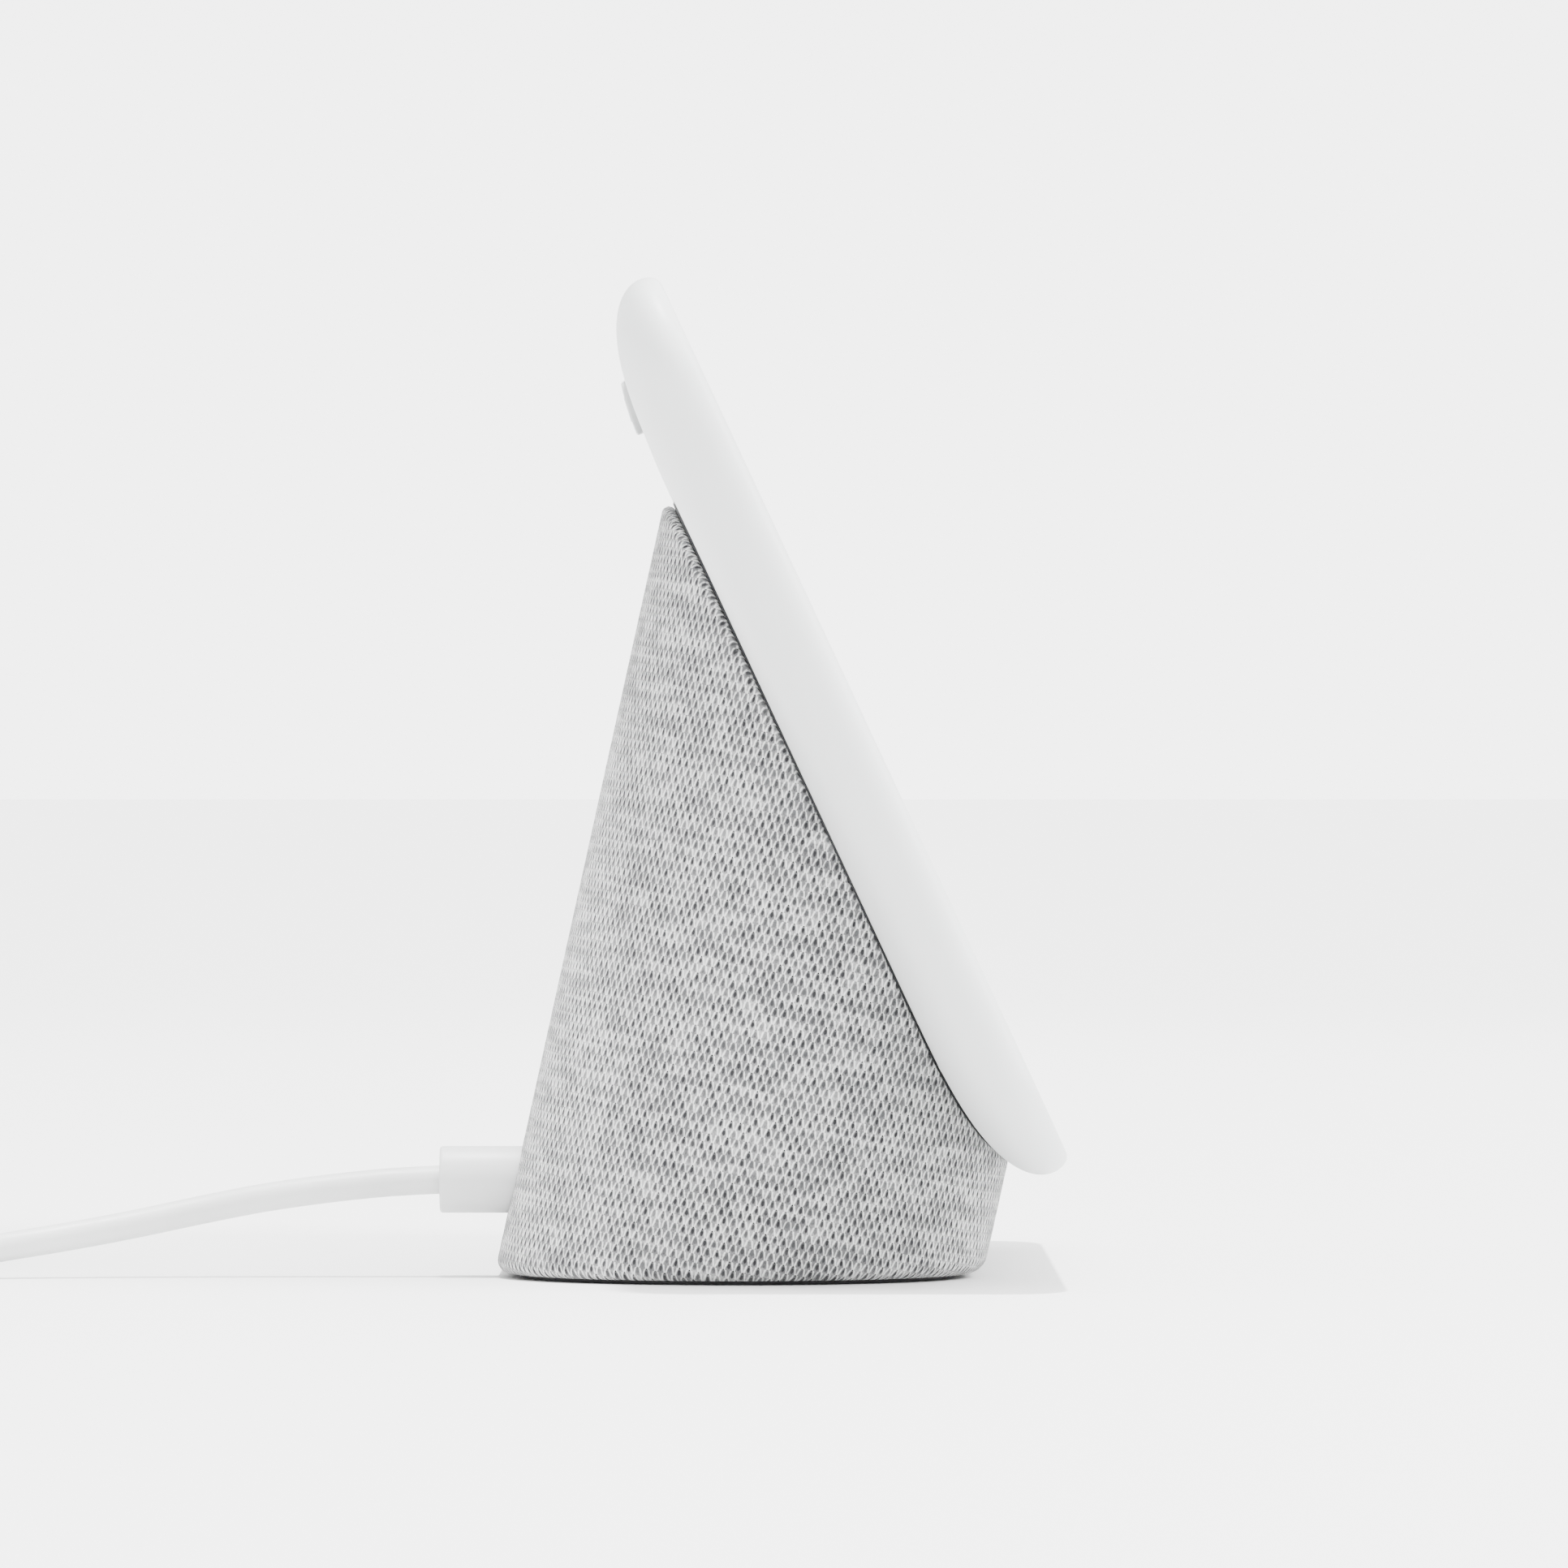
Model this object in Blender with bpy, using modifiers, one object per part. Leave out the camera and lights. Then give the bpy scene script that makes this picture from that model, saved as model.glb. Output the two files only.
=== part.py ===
"""A tilted smart display on a knit-covered speaker base, with its power cord and wall adapter.

Metres, +Z up. X runs across the display, the screen faces -Y, and the origin is the middle of the
footprint on the table.
"""
import math

import bmesh
import bpy
from mathutils import Matrix, Vector

GAP = 0.0003

# Display head, in its own frame: X across, Y up the plate, Z out of the screen.
DISPLAY_WIDTH = 0.1785
DISPLAY_HEIGHT = 0.1147
DISPLAY_TILT = math.radians(25)
DISPLAY_CENTRE = Vector((0, -0.00978, 0.0667))
CORNER_RADIUS = 0.0125
CORNER_RADIUS_LOSS = 0.25
FRONT_EDGE_INSET = 0.0014
FRONT_EDGE_DEPTH = 0.0022
FRONT_LIP_INSET = 0.0022
BACK_DEPTH = 0.0093
BACK_CURVE_LENGTH = 0.026
BACK_CURVE_POWER = 3.1
BACK_CURVE_RINGS = 9
BACK_RING_CROWDING = 2.4
HOUSING_WALL = 0.0018
GLASS_BACK = -0.0009
PANEL_LAYER = (-0.0030, -0.0012)
MID_FRAME_LAYER = (-0.0038, -0.0033)
SENSOR_LAYER = (-0.0022, -0.0012)
BOARD_LAYER = (-0.0051, -0.0043)
SHIELD_LAYER = (-0.0068, -0.0054)
BRACKET_LAYER = (-0.0070, -0.0060)
PANEL_SIZE = (0.161, 0.097)
MAIN_BOARD_SIZE = (0.096, 0.026)
MAIN_BOARD_CENTRE = (0, 0.025)
SENSOR_BOARD_SIZE = (0.014, 0.0042)
SENSOR_ROW = 0.0518
MICROPHONE_SPREAD = 0.033
PROCESSOR_SHIELD_SIZE = (0.026, 0.020)
PROCESSOR_SHIELD_CENTRE = (-0.014, 0.025)
RADIO_SHIELD_SIZE = (0.020, 0.014)
RADIO_SHIELD_CENTRE = (0.030, 0.027)
RIBBON_EDGES = (0.024, 0.036)
RIBBON_THICKNESS = 0.0002
RIBBON_RUN = (
    (-0.0490, -0.0021),
    (-0.0505, -0.0022),
    (-0.0513, -0.0030),
    (-0.0509, -0.0039),
    (-0.0495, -0.0043),
    (-0.0300, -0.0043),
    (0.0070, -0.0045),
)
CLEARANCE_FRONT = 0.09
HOUSING_CUT_LAYER = (-0.012, -0.004)

# Controls in the back of the display.
MUTE_CENTRE = (0, 0.0461)
MUTE_CAP_SIZE = (0.0115, 0.0066)
MUTE_SLOT_SIZE = (0.0162, 0.0073)
MUTE_TOP = -0.0091
MUTE_FLANGE_LAYER = (-0.00565, -0.0050)
MUTE_FLANGE_SIZE = (0.0210, 0.0050)
MUTE_BODY_SIZE = (0.0085, 0.0036)
MUTE_BODY_CORNER = 0.0004
SWITCH_LAYER = (-0.0047, -0.0041)
ROCKER_CENTRE = (0.076, 0.022)
ROCKER_CAP_SIZE = (0.0050, 0.0210)
ROCKER_SLOT_SIZE = (0.0058, 0.0218)
ROCKER_TOP = -0.0095
ROCKER_FLANGE_LAYER = (-0.0058, -0.0052)
ROCKER_FLANGE_SIZE = (0.0076, 0.0140, 0.0006)
BUTTON_BOARD_SIZE = (0.009, 0.026)

# Neck between the display and the base.
NECK_CENTRE = (0, -0.011)
NECK_OPENING = (0.016, 0.010)
BRACKET_SIZE = (0.064, 0.026)
NECK_SCREW_SPREAD = (0.026, 0.009)
NECK_HOLE_MIDDLE = -0.009
NECK_HOLE_LENGTH = 0.012
NECK_CUT_LAYER = (-0.016, -0.004)
BRACKET_CORNER = 0.003
SCREW_HOLE_RADIUS = 0.0016
SCREW_SHAFT_RADIUS = 0.0013
SCREW_HEAD_RADIUS = 0.0025
NECK_SCREW_LENGTH = 0.0058
NECK_SCREW_HEAD = 0.0016

# Base: an upright stadium whose axis leans towards the screen, cut off by the display's back.
BASE_HALF_FLAT = 0.035
BASE_RADIUS = 0.02905
BASE_CENTRE_Y = 0.0050
BASE_LEAN = 0.2268
BASE_TOP = 0.110
EDGE_ROUNDING = 0.0020
SLEEVE_BOTTOM = 0.0005
SLEEVE_THICKNESS = 0.0010
SLEEVE_LIP = 0.0026
SHELL_OFFSET = -(SLEEVE_THICKNESS + GAP)
SHELL_WALL = 0.0020
SHELL_BOTTOM = 0.0046
PLATE_BOTTOM = 0.0018
PLATE_TOP = 0.0043
FOOT_RADIUS = 0.0261
FOOT_TOP = 0.0015
BOSS_RADIUS = 0.0034
BOSS_TOP = 0.0125
BASE_SCREW_PLACES = ((-0.0575, 0.0040), (0.0575, 0.0040), (-0.022, -0.0195), (0.022, -0.0195))
BALLAST_SIZE = (0.084, 0.0195, 0.0032)
BALLAST_CENTRE = (0, -0.0058, 0.0064)
BALLAST_EDGE = 0.0008
PLATE_PROFILE = ((-0.0022, 0.0), (-0.0015, 0.0003), (SHELL_OFFSET, 0.0009))
PLATE_HOLE_MIDDLE = 0.004
PLATE_HOLE_LENGTH = 0.006
COUNTERBORE_TOP = 0.0033
COUNTERBORE_RADIUS = 0.0029
COUNTERBORE_DEPTH = 0.004
BASE_SCREW_LENGTH = 0.0080
BASE_SCREW_HEAD = 0.0008
INLET_DRILL_Y = 0.030
INLET_DRILL_LENGTH = 0.014

# Speaker driver, in its own frame: Z points out through the back wall, from the wall's inside.
SPEAKER_HEIGHT = 0.038
SPEAKER_TURN_STEPS = 24
SLOT_COUNT = 7
SLOT_PITCH = 0.0046
SLOT_WIDTH = 0.0026
SLOT_FIELD_RADIUS = 0.0165
FLANGE_RADIUS = 0.0242
SPEAKER_SCREW_CIRCLE = 0.0217
SPEAKER_CUT_DEPTH = 0.012
SPEAKER_HOLE_RADIUS = 0.0014
SPEAKER_SCREW_SEAT = -0.0027
SPEAKER_SCREW = (0.0011, 0.0040, 0.0021, 0.0014)
GASKET_SECTION = (0.0192, FLANGE_RADIUS, -0.0011, -GAP)
FRAME_PROFILE = (
    (FLANGE_RADIUS, -0.0014),
    (FLANGE_RADIUS, -0.0024),
    (0.0199, -0.0024),
    (0.0150, -0.0120),
    (0.0088, -0.0120),
    (0.0088, -0.0110),
    (0.0142, -0.0110),
    (0.0190, -0.0014),
)
FRAME_WINDOW_SIZE = (0.050, 0.013, 0.0062)
FRAME_WINDOW_LEVEL = -0.0068
TOP_PLATE_SECTION = (0.0080, 0.0140, -0.0143, -0.0123)
MAGNET_SECTION = (0.0095, 0.0140, -0.0206, -0.0146)
YOKE_PROFILE = (
    (0, -0.0123),
    (0.0068, -0.0123),
    (0.0068, -0.0209),
    (0.0140, -0.0209),
    (0.0140, -0.0229),
    (0, -0.0229),
)
CONE_PROFILE = (
    (0.0152, -0.0032),
    (0.0152, -0.0037),
    (0.0083, -0.0088),
    (0.0079, -0.0088),
    (0.0079, -0.0083),
)
COIL_SECTION = (0.0072, 0.0076, -0.0140, -0.0086)
DUST_CAP_RADIUS = 0.0074
DUST_CAP_RISE = 0.0026
DUST_CAP_LEVEL = -0.0080
DUST_CAP_THICKNESS = 0.0004
SURROUND_CIRCLE = 0.0168
SURROUND_LEVEL = -0.0027
SURROUND_RADII = (0.0012, 0.0009)
SPIDER_OUTER = 0.0138
SPIDER_WIDTH = 0.0058
SPIDER_LEVEL = -0.0100
SPIDER_WAVE = 0.0003
SPIDER_THICKNESS = 0.00025
SPIDER_POINTS = 9

# Power inlet, plug and cord.
INLET_X = -0.034
INLET_Z = 0.01165
JACK_SIZE = (0.009, 0.0095, 0.010)
JACK_FACE_Y = 0.0264
JACK_BORE_RADIUS = 0.00305
JACK_BACK_WALL = 0.0015
PIN_RADIUS = 0.0008
PIN_TIP = 0.0006
PIN_CLEARANCE = 0.002
POWER_BOARD_SIZE = (0.018, 0.0185, 0.0010)
POWER_BOARD_CENTRE = (INLET_X, 0.0180, 0.0056)
BARREL_BORE_RADIUS = 0.00125
BARREL_RADIUS = 0.00275
BARREL_LENGTH = 0.0078
PLUG_RADIUS = 0.0040
PLUG_END_Y = 0.0407
PLUG_CLEARANCE = 0.0005
PLUG_EDGE = 0.0004
CORD_RADIUS = 0.0017
CORD_POINT_SPACING = 0.006
COIL_CENTRE = (-0.045, 0.128)
COIL_TURN_RADIUS = 0.019
COIL_HALF_WIDTH = 0.0052
COIL_HEIGHT = 0.0139
COIL_CORNER = 0.0026
TIE_THICKNESS = 0.0005
TIE_WIDTH = 0.005
COIL_MIDDLE_HEIGHT = TIE_THICKNESS + GAP + COIL_HEIGHT / 2
ADAPTER_SIZE = (0.045, 0.045, 0.028)
ADAPTER_CENTRE = (0.015, 0.1265)
PRONG_SIZE = (0.0015, 0.0063, 0.017)
PRONG_SPREAD = 0.00635
RELIEF_PROFILE = ((0, 0.020), (0.00195, 0.020), (0.0032, 0.0015), (0.0032, 0), (0, 0))
ADAPTER_EDGE = 0.003
PRONG_EDGE = 0.0004

# Route of the cord outside its coil, x, y, z of the centre line.
LEAD_ROUTE = (
    (-0.0340, 0.0410, 0.01165),
    (-0.0340, 0.0467, 0.01130),
    (-0.0341, 0.0544, 0.01050),
    (-0.0344, 0.0621, 0.00940),
    (-0.0350, 0.0698, 0.00790),
    (-0.0361, 0.0775, 0.00630),
    (-0.0377, 0.0852, 0.00490),
    (-0.0398, 0.0928, 0.00370),
    (-0.0423, 0.0979, 0.00290),
    (-0.0455, 0.1018, 0.00250),
)
TAIL_ROUTE = (
    (-0.0330, 0.1517, 0.01160),
    (-0.0240, 0.1538, 0.00860),
    (-0.0160, 0.1585, 0.00520),
    (-0.0095, 0.1652, 0.00300),
    (-0.0037, 0.1725, 0.00240),
    (0.0022, 0.1785, 0.00400),
    (0.0085, 0.1805, 0.00730),
    (0.0131, 0.1777, 0.01100),
    (0.0149, 0.1732, 0.01330),
    (0.0150, 0.1697, 0.01400),
)

# Routes of the inner wires: first points in the base's frame, then points in the display's.
HARNESS_RADIUS = 0.0008
HARNESS_SPACING = 0.0025
HARNESS_IN_BASE = (
    (-0.0340, 0.0110, 0.0075),
    (-0.0330, 0.0040, 0.0140),
    (-0.0280, -0.0015, 0.0240),
    (-0.0180, -0.0040, 0.0360),
    (-0.0080, -0.0025, 0.0460),
)
HARNESS_IN_DISPLAY = (
    (-0.0015, -0.0125, -0.0130),
    (0.0, -0.0118, -0.0095),
    (0.0, -0.0105, -0.0065),
    (0.0, -0.0078, -0.0051),
    (0.0, -0.0030, -0.0050),
    (0.0, 0.0085, -0.0050),
)
LEAD_RADIUS = 0.0007
LEAD_SPACING = 0.004
LEAD_IN_BASE = (
    (0.0160, 0.0120, 0.0290),
    (0.0210, 0.0060, 0.0340),
    (0.0190, 0.0000, 0.0430),
    (0.0110, 0.0000, 0.0480),
)
LEAD_IN_DISPLAY = (
    (0.0050, -0.0130, -0.0130),
    (0.0045, -0.0118, -0.0082),
)

FINISHES = {
    "white_plastic": ((0.84, 0.85, 0.85), 0.40, 0.0),
    "screen_glass": ((0.01, 0.01, 0.012), 0.06, 0.0),
    "panel_black": ((0.02, 0.02, 0.02), 0.35, 0.0),
    "stamped_steel": ((0.55, 0.55, 0.56), 0.35, 1.0),
    "board_green": ((0.03, 0.16, 0.08), 0.50, 0.0),
    "tinned_steel": ((0.70, 0.70, 0.71), 0.30, 1.0),
    "switch_black": ((0.03, 0.03, 0.03), 0.45, 0.0),
    "ribbon_amber": ((0.45, 0.20, 0.04), 0.40, 0.0),
    "heather_knit": ((0.64, 0.64, 0.63), 0.92, 0.0),
    "shell_plastic": ((0.10, 0.10, 0.11), 0.55, 0.0),
    "dark_rubber": ((0.035, 0.035, 0.037), 0.75, 0.0),
    "plated_screw": ((0.32, 0.32, 0.33), 0.30, 1.0),
    "foam_black": ((0.04, 0.04, 0.04), 0.95, 0.0),
    "pressed_paper": ((0.07, 0.07, 0.075), 0.80, 0.0),
    "spider_cloth": ((0.55, 0.38, 0.12), 0.90, 0.0),
    "ferrite": ((0.08, 0.08, 0.085), 0.60, 0.0),
    "copper_winding": ((0.70, 0.32, 0.18), 0.35, 1.0),
    "nickel": ((0.72, 0.70, 0.66), 0.22, 1.0),
    "wire_jacket": ((0.05, 0.05, 0.05), 0.60, 0.0),
    "cord_white": ((0.86, 0.86, 0.85), 0.45, 0.0),
}


def clear_scene():
    for item in list(bpy.data.objects):
        bpy.data.objects.remove(item, do_unlink=True)


def new_collection(name):
    collection = bpy.data.collections.new(name)
    bpy.context.scene.collection.children.link(collection)
    return collection


def finish_material(name, finish):
    colour, roughness, metallic = FINISHES[finish]
    material = bpy.data.materials.new(name + "_" + finish)
    material.use_nodes = True
    shader = material.node_tree.nodes["Principled BSDF"]
    shader.inputs["Base Color"].default_value = (*colour, 1.0)
    shader.inputs["Roughness"].default_value = roughness
    shader.inputs["Metallic"].default_value = metallic
    material.diffuse_color = (*colour, 1.0)
    return material


def register(item, finish, parent):
    """Put an object in its collection: a piece has a finish, and a cutter has none."""
    if finish:
        item.data.materials.append(finish_material(item.name, finish))
        PARTS.objects.link(item)
    else:
        item.hide_render = True
        item.display_type = "WIRE"
        CUTTERS.objects.link(item)
    item.parent = parent
    return item


def frame_empty(name, location, rotation):
    empty = bpy.data.objects.new(name, None)
    empty.empty_display_size = 0.01
    empty.location = location
    empty.rotation_euler = rotation
    PARTS.objects.link(empty)
    return empty


def mesh_object(name, bm, finish, parent, location=(0, 0, 0), rotation=(0, 0, 0)):
    mesh = bpy.data.meshes.new(name)
    bm.to_mesh(mesh)
    bm.free()
    mesh.shade_smooth()
    mesh.set_sharp_from_angle(angle=math.radians(35))
    item = bpy.data.objects.new(name, mesh)
    item.location = location
    item.rotation_euler = rotation
    return register(item, finish, parent)


def boolean(item, other, operation="DIFFERENCE"):
    modifier = item.modifiers.new(other.name, "BOOLEAN")
    modifier.operation = operation
    modifier.object = other


def block(name, size, centre, finish, parent=None, bevel=0.0, bevel_segments=2, location=(0, 0, 0)):
    bm = bmesh.new()
    bmesh.ops.create_cube(bm, size=1.0)
    bmesh.ops.scale(bm, vec=size, verts=bm.verts)
    bmesh.ops.translate(bm, vec=centre, verts=bm.verts)
    item = mesh_object(name, bm, finish, parent, location)
    if bevel:
        modifier = item.modifiers.new("edges", "BEVEL")
        modifier.width = bevel
        modifier.segments = bevel_segments
    return item


def drills(name, holes, parent, along="Z", segments=16):
    """One cutter made of cylinders, each given as centre, radius and length."""
    turn = {"Z": Matrix(), "Y": Matrix.Rotation(math.radians(90), 4, "X")}[along]
    bm = bmesh.new()
    for centre, radius, length in holes:
        place = Matrix.Translation(centre) @ turn
        bmesh.ops.create_cone(bm, cap_ends=True, segments=segments, radius1=radius, radius2=radius,
                              depth=length, matrix=place)
    return mesh_object(name, bm, None, parent)


def turned(name, profile, finish, parent, steps=SPEAKER_TURN_STEPS, closed=False,
           location=(0, 0, 0), rotation=(0, 0, 0)):
    """Turn a profile of radius and height, running down its outer side, about Z."""
    bm = bmesh.new()
    row = [bm.verts.new((radius, 0, height)) for radius, height in profile]
    for first, second in zip(row, row[1:]):
        bm.edges.new((first, second))
    if closed:
        bm.edges.new((row[-1], row[0]))
    item = mesh_object(name, bm, finish, parent, location, rotation)
    modifier = item.modifiers.new("turn", "SCREW")
    modifier.steps = steps
    modifier.render_steps = steps
    modifier.use_merge_vertices = True
    modifier.merge_threshold = 0.00001
    modifier.use_smooth_shade = False
    return item


def ring_profile(inner, outer, low, high):
    return ((outer, high), (outer, low), (inner, low), (inner, high))


def rounded_rectangle(half_width, half_height, radius, steps=6):
    points = []
    corners = ((1, -1), (1, 1), (-1, 1), (-1, -1))
    for index, (side_x, side_y) in enumerate(corners):
        centre = Vector((side_x * (half_width - radius), side_y * (half_height - radius)))
        for step in range(steps + 1):
            angle = math.radians(90) * (index - 1 + step / steps)
            points.append(centre + radius * Vector((math.cos(angle), math.sin(angle))))
    return points


def stadium(half_flat, radius, steps=14):
    points = []
    for side, start in ((1, -90), (-1, 90)):
        for step in range(steps + 1):
            angle = math.radians(start + 180 * step / steps)
            points.append(Vector((side * half_flat + radius * math.cos(angle), radius * math.sin(angle))))
    return points


def upright_stadium(width, height, steps=8):
    outline = stadium((height - width) / 2, width / 2, steps)
    return [Vector((-point.y, point.x)) for point in outline]


def level_stadium(width, height, steps=8):
    return stadium((width - height) / 2, height / 2, steps)


def mesh_from_curve(item, finish, parent):
    """Replace a curve object with its welded mesh, so that it can be cut or joined."""
    bpy.context.scene.collection.objects.link(item)
    graph = bpy.context.evaluated_depsgraph_get()
    mesh = bpy.data.meshes.new_from_object(item.evaluated_get(graph))
    bm = bmesh.new()
    bm.from_mesh(mesh)
    bmesh.ops.remove_doubles(bm, verts=bm.verts, dist=0.00001)
    name = item.name
    place = item.matrix_world.copy()
    bpy.data.objects.remove(item, do_unlink=True)
    solid = mesh_object(name, bm, finish, parent)
    solid.matrix_local = place
    return solid


def plate(name, outline, layer, finish, parent=None, centre=(0, 0), location=(0, 0, 0)):
    """A flat plate: an outline in X and Y, between the two heights of its layer."""
    low, high = layer
    curve = bpy.data.curves.new(name, "CURVE")
    curve.dimensions = "2D"
    curve.fill_mode = "BOTH"
    curve.extrude = (high - low) / 2
    spline = curve.splines.new("POLY")
    spline.points.add(len(outline) - 1)
    for slot, point in zip(spline.points, outline):
        slot.co = (point.x, point.y, 0, 1)
    spline.use_cyclic_u = True
    item = bpy.data.objects.new(name, curve)
    shift = Vector((centre[0], centre[1], (low + high) / 2))
    solid = mesh_from_curve(item, finish, parent)
    solid.data.transform(Matrix.Translation(shift))
    solid.location = location
    return solid


def panel(name, size, layer, finish, parent, centre=(0, 0), radius=0.001, steps=2):
    outline = rounded_rectangle(size[0] / 2, size[1] / 2, radius, steps)
    return plate(name, outline, layer, finish, parent, centre)


def loft(name, rings, finish, parent=None, closed_path=False):
    """Skin outlines of one point count in order, with caps unless the path closes on itself."""
    bm = bmesh.new()
    rows = [[bm.verts.new(point) for point in ring] for ring in rings]
    count = len(rows[0])
    pairs = list(zip(rows, rows[1:]))
    if closed_path:
        pairs.append((rows[-1], rows[0]))
    else:
        bm.faces.new(rows[0])
        bm.faces.new(rows[-1])
    for first, second in pairs:
        for index in range(count):
            after = (index + 1) % count
            bm.faces.new((first[index], first[after], second[after], second[index]))
    bmesh.ops.recalc_face_normals(bm, faces=bm.faces)
    return mesh_object(name, bm, finish, parent)


def smooth_route(points, spacing):
    """Points at an even spacing along a smooth curve through the given ones."""
    knots = [Vector(point) for point in points]
    knots = [2 * knots[0] - knots[1], *knots, 2 * knots[-1] - knots[-2]]
    fine = []
    for before, start, end, after in zip(knots, knots[1:], knots[2:], knots[3:]):
        for step in range(20):
            t = step / 20
            fine.append(0.5 * (2 * start + (end - before) * t
                               + (2 * before - 5 * start + 4 * end - after) * t ** 2
                               + (3 * start - before - 3 * end + after) * t ** 3))
    fine.append(knots[-2])
    lengths = [(second - first).length for first, second in zip(fine, fine[1:])]
    count = max(2, round(sum(lengths) / spacing))
    step_length = sum(lengths) / count
    route = [fine[0]]
    walked = 0.0
    for point, length in zip(fine[1:], lengths):
        walked += length
        if walked >= step_length * len(route) - 1e-9:
            route.append(point)
    if len(route) <= count:
        route.append(fine[-1])
    return route


def tube(name, points, radius, finish, spacing):
    curve = bpy.data.curves.new(name, "CURVE")
    curve.dimensions = "3D"
    curve.bevel_depth = radius
    curve.bevel_resolution = 2
    curve.use_fill_caps = True
    route = smooth_route(points, spacing)
    spline = curve.splines.new("POLY")
    spline.points.add(len(route) - 1)
    for slot, point in zip(spline.points, route):
        slot.co = (*point, 1)
    return register(bpy.data.objects.new(name, curve), finish, None)


def screw(name, shaft_radius, length, head_radius, head_height, parent, location, rotation):
    """A pan head screw, its origin under its head and its head towards +Z."""
    edge = head_height * 0.4
    profile = (
        (0, head_height), (head_radius - edge, head_height), (head_radius, head_height - edge),
        (head_radius, 0), (shaft_radius, 0), (shaft_radius, -length + shaft_radius / 2),
        (shaft_radius / 2, -length), (0, -length))
    return turned(name, profile, "plated_screw", parent, 12, False, location, rotation)


def back_depth(inset):
    """Depth of the housing's back behind the front face, at a distance in from its outline."""
    fade = (1 - min(inset, BACK_CURVE_LENGTH) / BACK_CURVE_LENGTH) ** BACK_CURVE_POWER
    return FRONT_EDGE_DEPTH + (BACK_DEPTH - FRONT_EDGE_DEPTH) * math.sqrt(1 - fade)


def ring_inset(index):
    return BACK_CURVE_LENGTH * (index / BACK_CURVE_RINGS) ** BACK_RING_CROWDING


def display_ring(inset, depth):
    outline = rounded_rectangle(DISPLAY_WIDTH / 2 - inset, DISPLAY_HEIGHT / 2 - inset,
                                CORNER_RADIUS - CORNER_RADIUS_LOSS * inset)
    return [Vector((point.x, point.y, -depth)) for point in outline]


def display_point(x, up, forward):
    """A point of the display's frame in world coordinates."""
    return DISPLAY_PLACE @ Vector((x, up, forward))


def display_clearance(name, clearance):
    """The space of the display and of all before it, grown by a clearance."""
    rings = [display_ring(-clearance, -CLEARANCE_FRONT), display_ring(-clearance, FRONT_EDGE_DEPTH)]
    for index in range(1, BACK_CURVE_RINGS + 1):
        inset = ring_inset(index)
        depth = back_depth(inset)
        level = (depth - FRONT_EDGE_DEPTH) / (BACK_DEPTH - FRONT_EDGE_DEPTH)
        rings.append(display_ring(inset - clearance * math.sqrt(1 - level ** 2),
                                  depth + clearance * level))
    return loft(name, rings, None, DISPLAY)


def base_ring(offset, height):
    shift = BASE_CENTRE_Y - BASE_LEAN * height
    outline = stadium(BASE_HALF_FLAT, BASE_RADIUS + offset)
    return [Vector((point.x, point.y + shift, height)) for point in outline]


def make_rear_housing():
    outer = []
    for step in range(5):
        angle = math.radians(90) * step / 4
        outer.append(display_ring(FRONT_EDGE_INSET * (1 - math.sin(angle)),
                                  FRONT_EDGE_DEPTH * (1 - math.cos(angle))))
    for index in range(1, BACK_CURVE_RINGS + 1):
        outer.append(display_ring(ring_inset(index), back_depth(ring_inset(index))))
    inner = [display_ring(FRONT_LIP_INSET, 0), display_ring(FRONT_LIP_INSET, HOUSING_WALL)]
    for index in range(2, BACK_CURVE_RINGS + 1):
        inset = ring_inset(index)
        inner.append(display_ring(inset + HOUSING_WALL, back_depth(inset) - HOUSING_WALL))
    housing = loft("rear_housing", inner[::-1] + outer, "white_plastic", DISPLAY)
    for name, outline, centre in (
            ("mute_slot", level_stadium(*MUTE_SLOT_SIZE), MUTE_CENTRE),
            ("rocker_slot", upright_stadium(*ROCKER_SLOT_SIZE), ROCKER_CENTRE),
            ("housing_neck_opening", level_stadium(*NECK_OPENING), NECK_CENTRE)):
        boolean(housing, plate(name, outline, HOUSING_CUT_LAYER, None, DISPLAY, centre))
    boolean(housing, drills("housing_screw_holes", neck_holes(), DISPLAY))


def neck_places():
    return [(NECK_CENTRE[0] + side * NECK_SCREW_SPREAD[0], NECK_CENTRE[1] + level * NECK_SCREW_SPREAD[1])
            for side in (-1, 1) for level in (-1, 1)]


def neck_holes():
    return [((x, up, NECK_HOLE_MIDDLE), SCREW_HOLE_RADIUS, NECK_HOLE_LENGTH) for x, up in neck_places()]


def make_display_stack():
    glass = display_ring(FRONT_LIP_INSET + GAP, 0)
    plate("front_glass", [point.xy for point in glass], (GLASS_BACK, 0), "screen_glass", DISPLAY)
    panel("display_panel", PANEL_SIZE, PANEL_LAYER, "panel_black", DISPLAY)
    panel("mid_frame", PANEL_SIZE, MID_FRAME_LAYER, "stamped_steel", DISPLAY, radius=0.002)
    panel("main_board", MAIN_BOARD_SIZE, BOARD_LAYER, "board_green", DISPLAY, MAIN_BOARD_CENTRE)
    panel("processor_shield", PROCESSOR_SHIELD_SIZE, SHIELD_LAYER, "tinned_steel", DISPLAY,
          PROCESSOR_SHIELD_CENTRE)
    panel("radio_shield", RADIO_SHIELD_SIZE, SHIELD_LAYER, "tinned_steel", DISPLAY, RADIO_SHIELD_CENTRE)
    for name, x in (("microphone_board_left", -MICROPHONE_SPREAD),
                    ("microphone_board_right", MICROPHONE_SPREAD),
                    ("light_sensor_board", 0.0)):
        panel(name, SENSOR_BOARD_SIZE, SENSOR_LAYER, "board_green", DISPLAY, (x, SENSOR_ROW))
    make_display_flex()


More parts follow.
